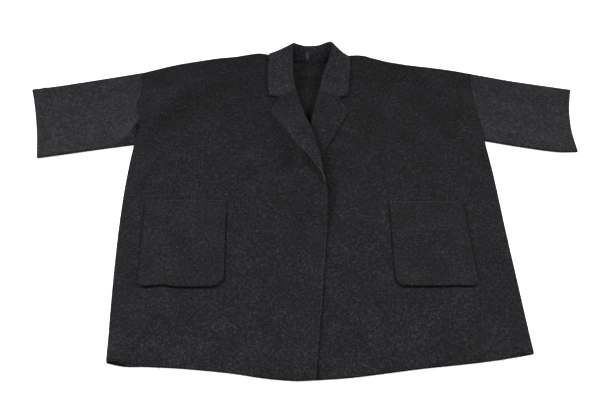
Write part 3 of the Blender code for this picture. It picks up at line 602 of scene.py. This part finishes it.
def roll_place(side, y):
    """Inner edge of a front's panel: its roll line up to the gorge, and above that its neckline."""
    past = min(max((y - GORGE) / (NECK - GORGE), 0.0), 1.0)
    return mix(follow(ROLLS[side], "y", "x", y), NECK_EDGE[side].x, past)


def hem_curl(side, x):
    """How far a lifted hem draws back."""
    return sum(lift.curl * math.exp(-((x - lift.x) / lift.half_x) ** 2)
               for lift in HEM_LIFTS if lift.side == side)


def front_plan(side, column, row):
    """Plan position in a front, from its side to its roll line or neckline."""
    row, inner_y = row
    side_x, side_y = side_point(side, row)
    inset = INWARD[side] * mix(WALL / 2, GAP, smooth((row - 2) / INSET_ROWS))
    x = mix(side_x + inset, roll_place(side, inner_y), column)
    y = mix(side_y, inner_y, column)
    if row < 1:
        straight = mix(getattr(LEVELS[0], side), HEM_MIDDLE, column)
        y += (follow(HEM, "x", "y", x) + hem_curl(side, x) - straight) * (1 - row)
    if row > 2:
        top_x, top_y = side_point(side, 3)
        last_x = mix(top_x + inset, NECK_EDGE[side].x, column)
        y += (top_edge(last_x) - WALL / 2 - mix(top_y, NECK, column)) * (row - 2) ** SHOULDER_BUNCH
    return x, y


def front_point(side, across, row):
    """Point of a front: on its panel, on the arc where its edge turns, or on the lapel's leaf past it."""
    kind, at = across
    if kind != "panel" and row[1] > GORGE + TOUCHING:
        return None
    x, y = front_plan(side, at if kind == "panel" else 1.0, row)
    foot = Vector((x, y, front_height(side, x, y)))
    if kind == "panel":
        return foot
    roll_y = row[1]
    turn = math.pi * smooth((roll_y - LAPEL_FOOT) / (LAPEL_TURN_END - LAPEL_FOOT))
    turn = max(turn, EDGE_CURL if side == "right" else HIDDEN_CURL)
    lean, width, lift = [follow(ROLLS[side], "y", key, roll_y) for key in ("lean", "width", "lift")]
    lean = math.radians(lean)
    outward = Vector((INWARD[side] * math.cos(lean), math.sin(lean), 0.0))
    arc = min(ROLL_ARC, ROLL_SHARE * width)
    turned = turn * (at if kind == "arc" else 1.0)
    radius = arc / turn
    point = foot + outward * (radius * math.sin(turned))
    point.z += radius * (1 - math.cos(turned))
    if kind == "leaf":
        flat = (width - arc) * math.cos(turn)
        edge = point + outward * flat
        rolled = point.z
        point += outward * (flat * at)
        point.z += (width - arc) * at * math.sin(turn)
        bow = at / NOTCH if at <= NOTCH else (1 - at) / (1 - NOTCH)
        point.y += GORGE_BOW * bow * max((roll_y - GORGE_BOW_START) / (GORGE - GORGE_BOW_START), 0) ** 2
        laid = front_height(side, edge.x, edge.y) + WALL + GAP + lift
        laid = mix(rolled, laid, smooth(at) * smooth(flat / -LAPEL_SETTLE))
        lying = max(laid, front_height(side, point.x, point.y) + WALL + GAP)
        point.z = mix(point.z, lying, smooth((turn - LEAF_LIES) / LEAF_LIES_SPAN))
    return point


def bezier(a, b, c, d, t):
    s = 1 - t
    return a * s ** 3 + b * (3 * s * s * t) + c * (3 * s * t * t) + d * t ** 3


def seam_point(row, roll):
    """Point of the collar's seam, moved off the neck edge by the gap and the lean of the stand."""
    if row.seam_on == "back":
        edge = Vector((row.seam, top_edge(row.seam), 0.0))
        to_side = smooth(abs(row.seam) / NECK_HALF)
        edge.z = back_underside(edge.x, edge.y) + WALL * mix(0.5, 1.5, to_side) + 2 * GAP
        return edge + Vector((0.0, GAP * (1 - to_side), 0.0))
    x = roll_place(row.seam_on, row.seam)
    edge = Vector((x, row.seam, front_height(row.seam_on, x, row.seam)))
    away = Vector((INWARD[row.seam_on], 0.0, 0.0))
    lean = max((roll - edge).normalized().z, STAND_LEAN)
    return edge + away * (2 * GAP + WALL / 2 * lean)


def collar_section(row):
    """Points of one collar section, from its seam over the roll to the leaf's edge."""
    roll = Vector((row.rx, row.ry, row.rz))
    seam = seam_point(row, roll)
    rise = mix(seam, roll, STAND_HANDLE)
    edge = Vector((row.ex, row.ey, row.ez))
    face, up = math.radians(row.face), math.radians(row.up)
    turn = Vector((math.cos(face) * math.cos(up), math.sin(face) * math.cos(up), math.sin(up)))
    stand = [bezier(seam, rise, roll - turn * ROLL_HANDLE, roll, i / STAND_STEPS)
             for i in range(STAND_STEPS)]
    knee = mix(edge, roll, row.knee)
    knee.z = edge.z + row.knee_z
    leaf = [bezier(roll, roll + turn * ROLL_HANDLE, knee, edge, t) for t in LEAF_PARTS]
    return stand + leaf


def collar_end(side):
    """The collar's end: along the lapel's top edge to the notch, then free to the collar's corner."""
    around = [("arc", i / ARC_STEPS) for i in range(ARC_STEPS + 1)]
    around += [("leaf", part) for part in LAPEL_PARTS]
    top = [front_point(side, across, GORGE_ROW) for across in around]
    notch_step = ARC_STEPS + 1 + LAPEL_PARTS.index(NOTCH)
    gorge = top[notch_step] - top[0]
    away = Vector((-gorge.y, gorge.x, 0.0)).normalized()
    shift = away * math.copysign(GORGE_GAP, away.y)
    inward = Vector((INWARD[side] * GORGE_STEP, 0.0, 0.0))
    first = COLLAR[0] if side == "right" else COLLAR[-1]
    seam = seam_point(first._replace(seam=GORGE + GORGE_SEAM), top[ARC_STEPS // 2])
    points = [seam]
    for i, point in enumerate(top):
        points.append(point + shift + inward * max(1 - i / ARC_STEPS, 0.0))
    notch = points[notch_step + 1]
    corner = Vector(COLLAR_CORNERS[side] + (0.0,))
    corner.z = front_height(side, corner.x, corner.y) + WALL + GAP + CORNER_AIR
    points[-2] = mix(notch, corner, 0.5)
    points[-1] = corner
    return points


def leaf_rest(point):
    """Lowest place of the collar's leaf where it lies over a front."""
    side = "right" if point.x < 0 else "left"
    outward = INWARD[side] * (roll_place(side, point.y) - point.x)
    if outward < LEAF_START or point.y > top_edge(point.x) - LEAF_DROP:
        return 0.0
    return front_height(side, point.x, point.y) + WALL + LEAF_AIR


def catmull(sections, at):
    """Section at a fractional place along the collar, on smooth curves through all of them."""
    low = min(int(at), len(sections) - 2)
    t = at - low
    rows = [sections[min(max(low + i, 0), len(sections) - 1)] for i in (-1, 0, 1, 2)]
    blended = []
    for p0, p1, p2, p3 in zip(*rows):
        start, end = (p2 - p0) / 2, (p3 - p1) / 2
        rise = p2 - p1
        bend = (rise * 3 - start * 2 - end) * t ** 2 + (start + end - rise * 2) * t ** 3
        blended.append(p1 + start * t + bend)
    return blended


def sleeve_point(side, around, along):
    """Point of a sleeve's flattened tube; around goes over the upper layer and back under it."""
    over, part = around
    top_x, top_y, low_x, low_y = [follow(SLEEVES[side], "part", key, along) for key in Fold._fields[1:]]
    top, low = Vector((top_x, top_y)), Vector((low_x, low_y))
    across = (top - low).normalized()
    length = (top - low).length - WALL
    spot = low + across * (WALL / 2 + length * part)
    straight_x = mix(getattr(ARMHOLES[0], side), getattr(ARMHOLES[-1], side), part)
    spot.x += (follow(ARMHOLES, "part", side, part) - straight_x) * (1 - along) ** 2
    spot.x -= INWARD[side] * GAP * (1 - along)
    spot.x += CUFF_BOW[side] * 4 * part * (1 - part) * along ** 2
    if over:
        distance = min(part, 1 - part) * length
        rise = swelling(distance, ridge_height(side, spot.x, spot.y))
        return Vector((spot.x, spot.y, WALL + SEAM_RISE + rise))
    return Vector((spot.x, spot.y, WALL / 2))


def back_point(column, row):
    """Point of the back, from its right side to its left."""
    inset = GAP if row >= 2 else 0.0

    def straight(at_row):
        right_x, right_y = side_point("right", at_row)
        left_x, left_y = side_point("left", at_row)
        return mix(right_x + inset, left_x - inset, column), mix(right_y, left_y, column)

    x, y = straight(row)
    if row < 1:
        y += (follow(HEM, "x", "y", x) + BACK_HEM - straight(0)[1]) * (1 - row)
    if row > 2:
        last_x, last_y = straight(3)
        y += (top_edge(last_x) - last_y) * (row - 2) ** SHOULDER_BUNCH
    return Vector((x, y, back_underside(x, y) + WALL / 2))


def pocket_point(pocket, across, down):
    """Point of a pocket: across from its outer side, down from its top, on the front's own points."""
    y = mix(pocket.top, pocket.low, down)
    outer = mix(pocket.outer_top, pocket.outer_low, down)
    inner = mix(pocket.inner_top, pocket.inner_low, down)
    x = mix(outer, inner, across)
    height = pocket.top - pocket.low
    width = abs(inner - outer)
    rounding = mix(pocket.outer_round, pocket.inner_round, smooth((across - ROUND_FROM) / ROUND_SPAN))
    to_side = min(across, 1 - across) * width
    if to_side < rounding:
        cut = rounding - math.sqrt(rounding ** 2 - (rounding - to_side) ** 2)
        reach = ROUND_REACH * rounding
        y += cut * smooth((down * height - (height - reach)) / reach)
    y += pocket.pucker * down ** PUCKER_FADE * math.exp(-((across - PUCKER_AT) / PUCKER_HALF) ** 2)
    return Vector((x, y, front_height(pocket.side, x, y) + WALL + POCKET_RISE))


def dense(parts, reach, step):
    """Parts of a length, with more put between them until none is further apart than a step."""
    found = [parts[0]]
    for low, high in zip(parts, parts[1:]):
        count = max(1, math.ceil((high - low) * reach / step))
        found += [mix(low, high, (i + 1) / count) for i in range(count)]
    return found


def dense_rows():
    """Rows of a front, close together at the underarm and at the shoulder, where the cloth turns."""
    found = [FRONT_ROWS[0]]
    for (row, inner), (next_row, next_inner) in zip(FRONT_ROWS, FRONT_ROWS[1:]):
        apart = max(abs(level("right", next_row) - level("right", row)), abs(next_inner - inner))
        at_fold = row >= SHOULDER_TURN or 2.0 < next_row <= UNDERARM_TURN
        count = math.ceil(apart / (FOLD_STEP if row >= SHOULDER_TURN else STEP))
        count = max(count, 2 if at_fold else 1)
        for i in range(count):
            part = (i + 1) / count
            found.append((mix(row, next_row, part), mix(inner, next_inner, part)))
    return found


def placed(name, data):
    """A new object in the scene."""
    made = bpy.data.objects.new(name, data)
    bpy.context.scene.collection.objects.link(made)
    return made


def finished(name, shape, materials):
    """A smooth object made of a bmesh."""
    mesh = bpy.data.meshes.new(name)
    shape.to_mesh(mesh)
    shape.free()
    mesh.shade_smooth()
    for material in materials:
        mesh.materials.append(material)
    return placed(name, mesh)


def round_lines(name, lines, radius, material, resolution=0, caps=False):
    """Cords, threads or fibres: thin round lines, one spline each."""
    curve = bpy.data.curves.new(name, "CURVE")
    curve.dimensions = "3D"
    curve.bevel_depth = radius
    curve.bevel_resolution = resolution
    curve.use_fill_caps = caps
    for points in lines:
        spline = curve.splines.new("POLY")
        spline.points.add(len(points) - 1)
        for place, point in zip(spline.points, points):
            place.co = (*point, 1.0)
    curve.materials.append(material)
    return placed(name, curve)


def cloth_piece(name, columns, rows, place, materials, closed=False):
    """A sheet of cloth on a grid whose points are placed one by one, then given its wall and cut edge."""
    grid = bmesh.new()
    bmesh.ops.create_grid(grid, x_segments=len(columns) - 1, y_segments=len(rows) - 1, size=0.5)
    unused = []
    for vertex in grid.verts:
        i = round((vertex.co.x + 0.5) * (len(columns) - 1))
        j = round((vertex.co.y + 0.5) * (len(rows) - 1))
        spot = place(columns[i], rows[j])
        if spot is None:
            unused.append(vertex)
        else:
            vertex.co = spot
    bmesh.ops.delete(grid, geom=unused, context="VERTS")
    if closed:
        bmesh.ops.remove_doubles(grid, verts=grid.verts, dist=TOUCHING)
    bmesh.ops.recalc_face_normals(grid, faces=grid.faces)
    grid.faces.ensure_lookup_table()
    if not closed and grid.faces[0].normal.z < 0:
        bmesh.ops.reverse_faces(grid, faces=grid.faces)
    piece = finished(name, grid, materials)
    wall = piece.modifiers.new("Wall", "SOLIDIFY")
    wall.thickness = WALL
    wall.offset = 0.0
    wall.use_rim = True
    # The rim takes the next material: on most pieces the lighter cut edge, partly painted light; on the
    # pockets, painted shade
    wall.material_offset_rim = 1
    if len(materials) > 2:
        wall.material_offset = 2
    return piece


def make_back():
    start, end = ARMHOLES[-1].right, ARMHOLES[-1].left
    necks = [(NECK_EDGE[side].x - start) / (end - start) for side in ("right", "left")]
    columns = dense((0.0, *necks, 1.0), end - start, BACK_STEP)
    rows = dense((0.0, 1.0), BODY_LENGTH, BACK_STEP) + dense((1.0, 2.0), CHEST_LENGTH, BACK_STEP)[1:]
    rows += dense((2.0,) + tuple(2 + part for part in BACK_PARTS) + (3.0,), ARM_LENGTH, BACK_STEP)[1:]
    return cloth_piece("back_cloth", columns, rows, back_point, cloths["inside"])


def make_front(side):
    panel = dense(FINE_EDGE + PANEL_PARTS, FRONT_WIDTH, STEP)
    columns = [("panel", part) for part in panel]
    columns += [("arc", (i + 1) / ARC_FINE) for i in range(ARC_FINE)]
    columns += [("leaf", part) for part in dense(LEAF_COLUMNS, LAPEL_WIDTH, STEP)[1:]]
    place = partial(front_point, side)
    return cloth_piece("front_" + side + "_cloth", columns, dense_rows(), place, cloths["body"])


def make_sleeve(side):
    fine = FINE_ARM + (0.33, 0.5, 0.67) + tuple(1 - part for part in reversed(FINE_ARM))
    over = [(True, part) for part in dense(fine, ARM_LENGTH, STEP)]
    under = [(False, part) for part in reversed(dense(UNDER_PARTS, ARM_LENGTH, STEP * 2))]
    around = over + under + [over[0]]
    along = dense((0.0, 1.0), SLEEVE_LENGTH, STEP)
    place = partial(sleeve_point, side)
    return cloth_piece("sleeve_" + side + "_cloth", around, along, place, cloths["sleeve"], closed=True)


def make_collar():
    sections = [collar_end("right")] + [collar_section(row) for row in COLLAR] + [collar_end("left")]
    rows = [catmull(sections, i / COLLAR_FINE) for i in range(COLLAR_FINE * (len(sections) - 1) + 1)]
    parts = range(COLLAR_ACROSS * (len(sections[0]) - 1) + 1)
    points = [[catmull([[point] for point in row], part / COLLAR_ACROSS)[0] for part in parts]
              for row in rows]
    for section in points[1:-1]:
        for i, point in enumerate(section):
            lowest = WALL / 2 + FLOOR_AIR
            if i > STAND_STEPS * COLLAR_ACROSS:
                lowest = max(lowest, leaf_rest(point))
            point.z = max(point.z, lowest)

    def place(across, along):
        return points[along][across]

    return cloth_piece("collar_cloth", list(parts), list(range(len(rows))), place, cloths["collar"])


def make_pocket(pocket):
    parts = POCKET_EDGE + (0.2, 0.8) + tuple(1 - part for part in reversed(POCKET_EDGE))
    across = dense(parts, POCKET_WIDTH, STEP)
    down = dense(POCKET_DOWN, POCKET_HEIGHT, STEP)
    place = partial(pocket_point, pocket)
    piece = cloth_piece("pocket_" + pocket.side + "_cloth", across, down, place, cloths["pocket"])
    # Painted shade: the strip along the outer sewn edge takes the darker melton, as do all the pocket's rims
    for face in piece.data.polygons:
        row, column = divmod(face.index, len(across) - 1)
        if column < SHADE_PAINTED_COLUMNS and row >= SHADE_PAINTED_FROM:
            face.material_index = 1
    return piece


def make_loop():
    """The hanger loop: a bent cord with both ends sewn in at the back neck seam."""
    spots = [(-across, along) for across, along in LOOP_LEG]
    for i in range(LOOP_STEPS + 1):
        around = math.pi * i / LOOP_STEPS
        spots.append((-math.cos(around), LOOP_TURN + (1 - LOOP_TURN) * math.sin(around)))
    spots += reversed(LOOP_LEG)
    foot = Vector((LOOP_X, BACK_NECK + LOOP_INSET, LOOP_FOOT))
    cord = [foot + Vector((LOOP_HALF * across, LOOP_LENGTH * along, LOOP_RISE * along))
            for across, along in spots]
    return round_lines("hanger_loop_cord", [cord], LOOP_CORD, loop_cord, resolution=3, caps=True)


def pocket_path(pocket, inset):
    """Points along a pocket's sewn sides and lower edge, inside its edge."""
    width = abs(pocket.inner_top - pocket.outer_top)
    height = pocket.top - pocket.low
    side_part, low_part = inset / width, 1 - inset / height
    side = [STITCH_START + (low_part - STITCH_CORNER) * i / PATH_STEPS for i in range(PATH_STEPS + 1)]
    spots = [(side_part, down) for down in side]
    spots += [(side_part + (1 - 2 * side_part) * i / PATH_STEPS, low_part) for i in range(1, PATH_STEPS)]
    spots += [(1 - side_part, down) for down in reversed(side)]
    return [pocket_point(pocket, across, down) for across, down in spots]


def walk(points, pitch):
    """Places a pitch apart along a line, with the direction there."""
    found, over = [], 0.0
    for start, end in zip(points, points[1:]):
        length = (end - start).length
        while over < length:
            found.append((start.lerp(end, over / length), (end - start) / length))
            over += pitch
        over -= length
    return found


def make_stitches(pocket):
    """Topstitching inside a pocket's edge: short dark threads half sunk in the cloth."""
    shape = bmesh.new()
    for place, run in walk(pocket_path(pocket, STITCH_INSET), STITCH_PITCH):
        made = bmesh.ops.create_icosphere(shape, subdivisions=1, radius=1.0)
        turn = math.atan2(run.y, run.x)
        move = Matrix.Translation(place + Vector((0.0, 0.0, WALL / 2)))
        move = move @ Euler((0.0, 0.0, turn)).to_matrix().to_4x4()
        move = move @ Matrix.Diagonal((STITCH_LENGTH / 2, THREAD / 2, THREAD / 2, 1.0))
        bmesh.ops.transform(shape, matrix=move, verts=made["verts"])
    return finished("pocket_" + pocket.side + "_stitches", shape, [thread])


def make_loose_threads():
    """Frayed threads at the cuffs and the hem."""
    lines = []
    for end in LOOSE_ENDS:
        lines.append([])
        heading = math.radians(end.heading)
        spot = Vector((end.x, end.y, end.z))
        for i in range(THREAD_STEPS + 1):
            lines[-1].append(spot.copy())
            heading += math.radians(end.curl) / THREAD_STEPS
            spot += Vector((math.cos(heading), math.sin(heading), 0.0)) * (end.length / THREAD_STEPS)
            spot.z = mix(end.z, THREAD, smooth((i + 1) / THREAD_STEPS))
    return round_lines("loose_threads", lines, THREAD / 2, fray)


def make_fuzz():
    """Short fibres that stand out of the cut edges and the folds of the outline."""
    draw = random.Random(FUZZ_SEED)
    lines = []
    for points in outer_edges():
        for place, run in walk(points, FUZZ_APART):
            if draw.random() < FUZZ_BARE:
                continue
            out = Vector((run.y, -run.x, 0.0))
            length = FUZZ_LENGTH * draw.uniform(0.3, 1.0) ** 1.5 + FUZZ_SHORTEST
            lean = draw.uniform(-1.0, 1.0)
            up = draw.uniform(-FUZZ_UP, FUZZ_UP)
            level_in_wall = draw.uniform(-FUZZ_SPREAD, FUZZ_SPREAD) * WALL / 2
            root = place + Vector((0.0, 0.0, level_in_wall)) - out * FUZZ_ROOT
            way = (out + Vector((-out.y, out.x, 0.0)) * lean + Vector((0.0, 0.0, up))).normalized()
            bend = Vector((draw.uniform(-1, 1), draw.uniform(-1, 1), draw.uniform(-0.6, 0.6)))
            bend = bend * length * FUZZ_BEND
            line = [root, root + way * length * 0.5, root + way * length + bend]
            for point in line:
                point.z = max(point.z, FUZZ)
            lines.append(line)
    return round_lines("edge_fibres", lines, FUZZ / 2, fray)


def outer_edges():
    """Lines along the cut edges and outer folds, each with the cloth on its left."""
    rows = dense_rows()
    parts = [i / PATH_STEPS for i in range(PATH_STEPS + 1)]
    edges = []
    for side in ("right", "left"):
        on_sleeve, on_front = partial(sleeve_point, side), partial(front_point, side)
        cuff, under = [[on_sleeve((over, part), 1.0) for part in parts] for over in (True, False)]
        top_fold, low_fold = [[on_sleeve((True, fold), part) for part in parts] for fold in (1.0, 0.0)]
        hem, shoulder = [[on_front(("panel", part), row) for part in parts] for row in (rows[0], rows[-1])]
        edge = [on_front(("leaf", 1.0), row) for row in rows if row[1] <= GORGE]
        seam = [on_front(("panel", 0.0), row) for row in rows if row[0] <= 2]
        for line in (cuff, under, seam, shoulder, low_fold):
            edges.append(line[::-1] if side == "right" else line)
        for line in (hem, edge, top_fold):
            edges.append(line[::-1] if side == "left" else line)
    edges.append([back_point(i / BACK_HEM_STEPS, 0.0) for i in range(BACK_HEM_STEPS + 1)])
    return edges


def linear(hex_colour):
    """An sRGB hex colour as a linear one."""
    found = []
    for i in (1, 3, 5):
        value = int(hex_colour[i:i + 2], 16) / 255
        found.append(value / 12.92 if value <= 0.04045 else ((value + 0.055) / 1.055) ** 2.4)
    return (*found, 1.0)


def wire(tree, node, links, values):
    """Make the links into a node and set the values of its other sockets."""
    for socket, value in values:
        node.inputs[socket].default_value = value
    for socket, source in links:
        tree.links.new(source, node.inputs[socket])


def add(tree, kind, links=(), values=(), **settings):
    """Add a node with its settings, the values of its sockets and the links into it."""
    made = tree.nodes.new(kind)
    for name, value in settings.items():
        setattr(made, name, value)
    wire(tree, made, links, values)
    return made


def new_material(name):
    """A material, its nodes, its shader, and the places on the piece that its patterns follow."""
    material = bpy.data.materials.new(name)
    material.use_nodes = True
    tree = material.node_tree
    coordinates = add(tree, "ShaderNodeTexCoord")
    return material, tree, tree.nodes["Principled BSDF"], coordinates.outputs["Object"]


def cloth(name, dark, middle, light, grain_turn=0.0, coarser=1.0):
    """Milled wool melton: short fibres felted over a plain weave, matt, with lighter fibres mixed in.

    The weave shows as a faint crosshatch and the fibres as soft grain. Real threads are 1 mm apart and
    fibres 0.03 mm thick, too fine for the render, so both are drawn coarser.
    """
    material, tree, shader, on_piece = new_material(name)
    place = add(tree, "ShaderNodeMapping", [("Vector", on_piece)],
                [("Rotation", (0.0, 0.0, math.radians(grain_turn)))])
    spot = ("Vector", place.outputs["Vector"])
    patterns = ((1 / TUFT / coarser, 4.0, 0.62), (1 / PATCH, 1.0, 0.4), (1 / HAIR, 2.0, 0.6))
    tufts, patches, hairs = [
        add(tree, "ShaderNodeTexNoise", [spot], [("Scale", scale), ("Detail", detail), ("Roughness", rough)])
        for scale, detail, rough in patterns]
    grain = tufts
    fine, long = THREAD_ACROSS * coarser, THREAD_ALONG * coarser
    for across in ((fine, long), (long, fine)):
        size = add(tree, "ShaderNodeMapping", [spot], [("Scale", (1 / across[0], 1 / across[1], 1 / long))])
        threads = add(tree, "ShaderNodeTexNoise", [("Vector", size.outputs["Vector"])],
                      [("Scale", 1.0), ("Detail", 2.0), ("Roughness", 0.5)])
        grain = add(tree, "ShaderNodeMath", [(0, grain.outputs[0]), (1, threads.outputs["Fac"])])
    grain = add(tree, "ShaderNodeMath", [(0, patches.outputs["Fac"]), (2, grain.outputs[0])],
                [(1, PATCH_SHOWS)], operation="MULTIPLY_ADD")
    span = add(tree, "ShaderNodeMapRange", [("Value", grain.outputs["Value"])],
               [("From Min", GRAIN_LOW), ("From Max", GRAIN_HIGH)])
    ramp = add(tree, "ShaderNodeValToRGB", [("Fac", span.outputs["Result"])])
    ramp.color_ramp.elements[0].color = linear(dark)
    ramp.color_ramp.elements[1].color = linear(light)
    ramp.color_ramp.elements.new(0.5).color = linear(middle)
    rough = add(tree, "ShaderNodeMapRange", [("Value", tufts.outputs["Fac"])],
                [("To Min", 0.86), ("To Max", 1.0)])
    height = add(tree, "ShaderNodeMath", [(0, hairs.outputs["Fac"]), (2, grain.outputs["Value"])],
                 [(1, HAIR_SHOWS)], operation="MULTIPLY_ADD")
    bump = add(tree, "ShaderNodeBump", [("Height", height.outputs["Value"])],
               [("Strength", GRAIN_BUMP), ("Distance", GRAIN_DEPTH)])
    wire(tree, shader,
         [("Base Color", ramp.outputs["Color"]), ("Roughness", rough.outputs["Result"]),
          ("Normal", bump.outputs["Normal"])],
         [("IOR", 1.45), ("Specular IOR Level", 0.15), ("Sheen Weight", 0.05), ("Sheen Roughness", 0.55),
          ("Sheen Tint", linear("#8a8a90"))])
    return material


def mottled(name, size, stops, values):
    """A material whose colour drifts between two shades, with its nodes, shader and pattern."""
    material, tree, shader, on_piece = new_material(name)
    pattern = add(tree, "ShaderNodeTexNoise", [("Vector", on_piece)], [("Scale", 1 / size), ("Detail", 2.0)])
    ramp = add(tree, "ShaderNodeValToRGB", [("Fac", pattern.outputs["Fac"])])
    for element, (position, shade) in zip(ramp.color_ramp.elements, stops):
        element.position = position
        element.color = linear(shade)
    wire(tree, shader, [("Base Color", ramp.outputs["Color"])], values)
    return material, tree, shader, pattern


def thread_material(name, dark, light):
    """Spun thread: matt, its colour a little uneven along its length."""
    material, tree, shader, twist = mottled(name, THREAD_TWIST, ((0.35, dark), (0.65, light)),
                                            [("Roughness", 0.8), ("Specular IOR Level", 0.3)])
    bump = add(tree, "ShaderNodeBump", [("Height", twist.outputs["Fac"])],
               [("Strength", TWIST_BUMP), ("Distance", TWIST_DEPTH)])
    wire(tree, shader, [("Normal", bump.outputs["Normal"])], [])
    return material


def floor_material():
    """Matt white studio paper, a little uneven."""
    return mottled("studio_paper", PAPER_CLOUD, ((0.0, "#f4f4f4"), (1.0, "#f8f8f8")),
                   [("Roughness", 0.9), ("Specular IOR Level", 0.1),
                    ("Emission Color", (1.0, 1.0, 1.0, 1.0)), ("Emission Strength", FLOOR_GLOW)])[0]


def softbox(light):
    """A large soft light with a grid, turned to where it aims on the floor."""
    data = bpy.data.lights.new(light.name, "AREA")
    data.shape = "RECTANGLE"
    data.size = light.width
    data.size_y = light.depth
    data.spread = math.radians(light.beam)
    data.energy = light.power
    lamp = placed(light.name, data)
    lamp.location = (light.x, light.y, light.z)
    aim = Vector((light.aim_x, light.aim_y, 0.0)) - lamp.location
    lamp.rotation_euler = aim.to_track_quat("-Z", "Y").to_euler()


def make_studio():
    shape = bmesh.new()
    bmesh.ops.create_grid(shape, x_segments=1, y_segments=1, size=FLOOR_HALF)
    bmesh.ops.translate(shape, verts=shape.verts, vec=(0.0, 0.0, -FLOOR_BELOW))
    floor = finished("studio_floor", shape, [floor_material()])

    world = bpy.data.worlds.new("studio")
    world.use_nodes = True
    wire(world.node_tree, world.node_tree.nodes["Background"], [],
         [("Color", (1.0, 1.0, 1.0, 1.0)), ("Strength", AMBIENT)])
    for light in LIGHTS:
        softbox(light)

    data = bpy.data.cameras.new("camera")
    data.lens = CAMERA_LENS
    data.sensor_width = CAMERA_SENSOR
    camera = placed("camera", data)
    camera.location = CAMERA_PLACE
    camera.rotation_euler = (math.radians(CAMERA_TILT), 0.0, 0.0)
    scene = bpy.context.scene
    scene.world = world
    scene.camera = camera
    scene.view_settings.view_transform = "Standard"
    scene.view_settings.look = "None"


# Cut edges: a lighter melton on the rims, partly the paler fibres of raw-cut wool and partly painted light,
# as the rims face away from the lamps
cut_edge_painted_light = cloth("wool_melton_edge_painted_light", "#212124", "#39393c", "#58585d")
body = cloth("wool_melton_body", "#060607", "#18181a", "#343437")
# Painted shade: a darker melton for the pockets' rims and the strip along their outer sewn edge
painted_shade_edge = cloth("wool_melton_painted_shade_strip", "#030304", "#0d0d0e", "#1f1f21")
cloths = {
    "inside": [cloth("wool_melton_inside", "#08080a", "#1b1b1d", "#353538"), cut_edge_painted_light],
    "body": [body, cut_edge_painted_light, cloth("wool_melton_reverse", "#08080a", "#1d1d1f", "#39393c")],
    "pocket": [cloth("wool_melton_pocket", "#060607", "#19191b", "#343437", 3.0), painted_shade_edge],
    # Collar and sleeves: lighter copies of the body's melton with the grain turned, their lightness partly
    # painted light
    "collar": [cloth("wool_melton_collar", "#0c0c0e", "#252528", "#46464b", 40.0), cut_edge_painted_light],
    "sleeve": [cloth("wool_melton_sleeve", "#111113", "#252528", "#3e3e42", 90.0, 1.25), cut_edge_painted_light],
}
thread = thread_material("spun_polyester_thread", "#101012", "#1c1c1f")
fray = thread_material("frayed_wool_fibre", "#38383c", "#6a6a70")
loop_cord = thread_material("twisted_cotton_cord", "#3a3a3e", "#707076")

back = make_back()
fronts = {side: make_front(side) for side in ("right", "left")}
sleeves = {side: make_sleeve(side) for side in ("right", "left")}
collar = make_collar()
pockets = {pocket.side: make_pocket(pocket) for pocket in POCKETS}
loop = make_loop()
stitches = {pocket.side: make_stitches(pocket) for pocket in POCKETS}
loose = make_loose_threads()
fuzz = make_fuzz()

Cut = namedtuple("Cut", "piece node slot width length area rests_on")
CUTS = (
    Cut(back, "back", "melton", 0.892, 0.902, 0.740, ["studio_floor"]),
    Cut(fronts["right"], "front_right", "melton", 0.570, 0.902, 0.394, ["back_cloth", "front_left_cloth"]),
    Cut(fronts["left"], "front_left", "melton", 0.570, 0.902, 0.399, ["back_cloth"]),
    Cut(sleeves["right"], "sleeve_right", "melton_sleeve", 0.480, 0.290, 0.119, ["studio_floor"]),
    Cut(sleeves["left"], "sleeve_left", "melton_sleeve", 0.447, 0.255, 0.102, ["studio_floor"]),
    Cut(collar, "collar", "melton_collar", 0.440, 0.115, 0.044, ["front_right_cloth", "front_left_cloth"]),
    Cut(pockets["right"], "pocket_right", "melton", 0.190, 0.224, 0.042, ["front_right_cloth"]),
    Cut(pockets["left"], "pocket_left", "melton", 0.181, 0.218, 0.038, ["front_left_cloth"]),
)
for cut in CUTS:
    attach(cut.piece, "root")
    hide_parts(cut.node)
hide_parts("hanger_loop")
for piece in (loop, *stitches.values(), loose, fuzz):
    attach(piece, "root")

make_studio()
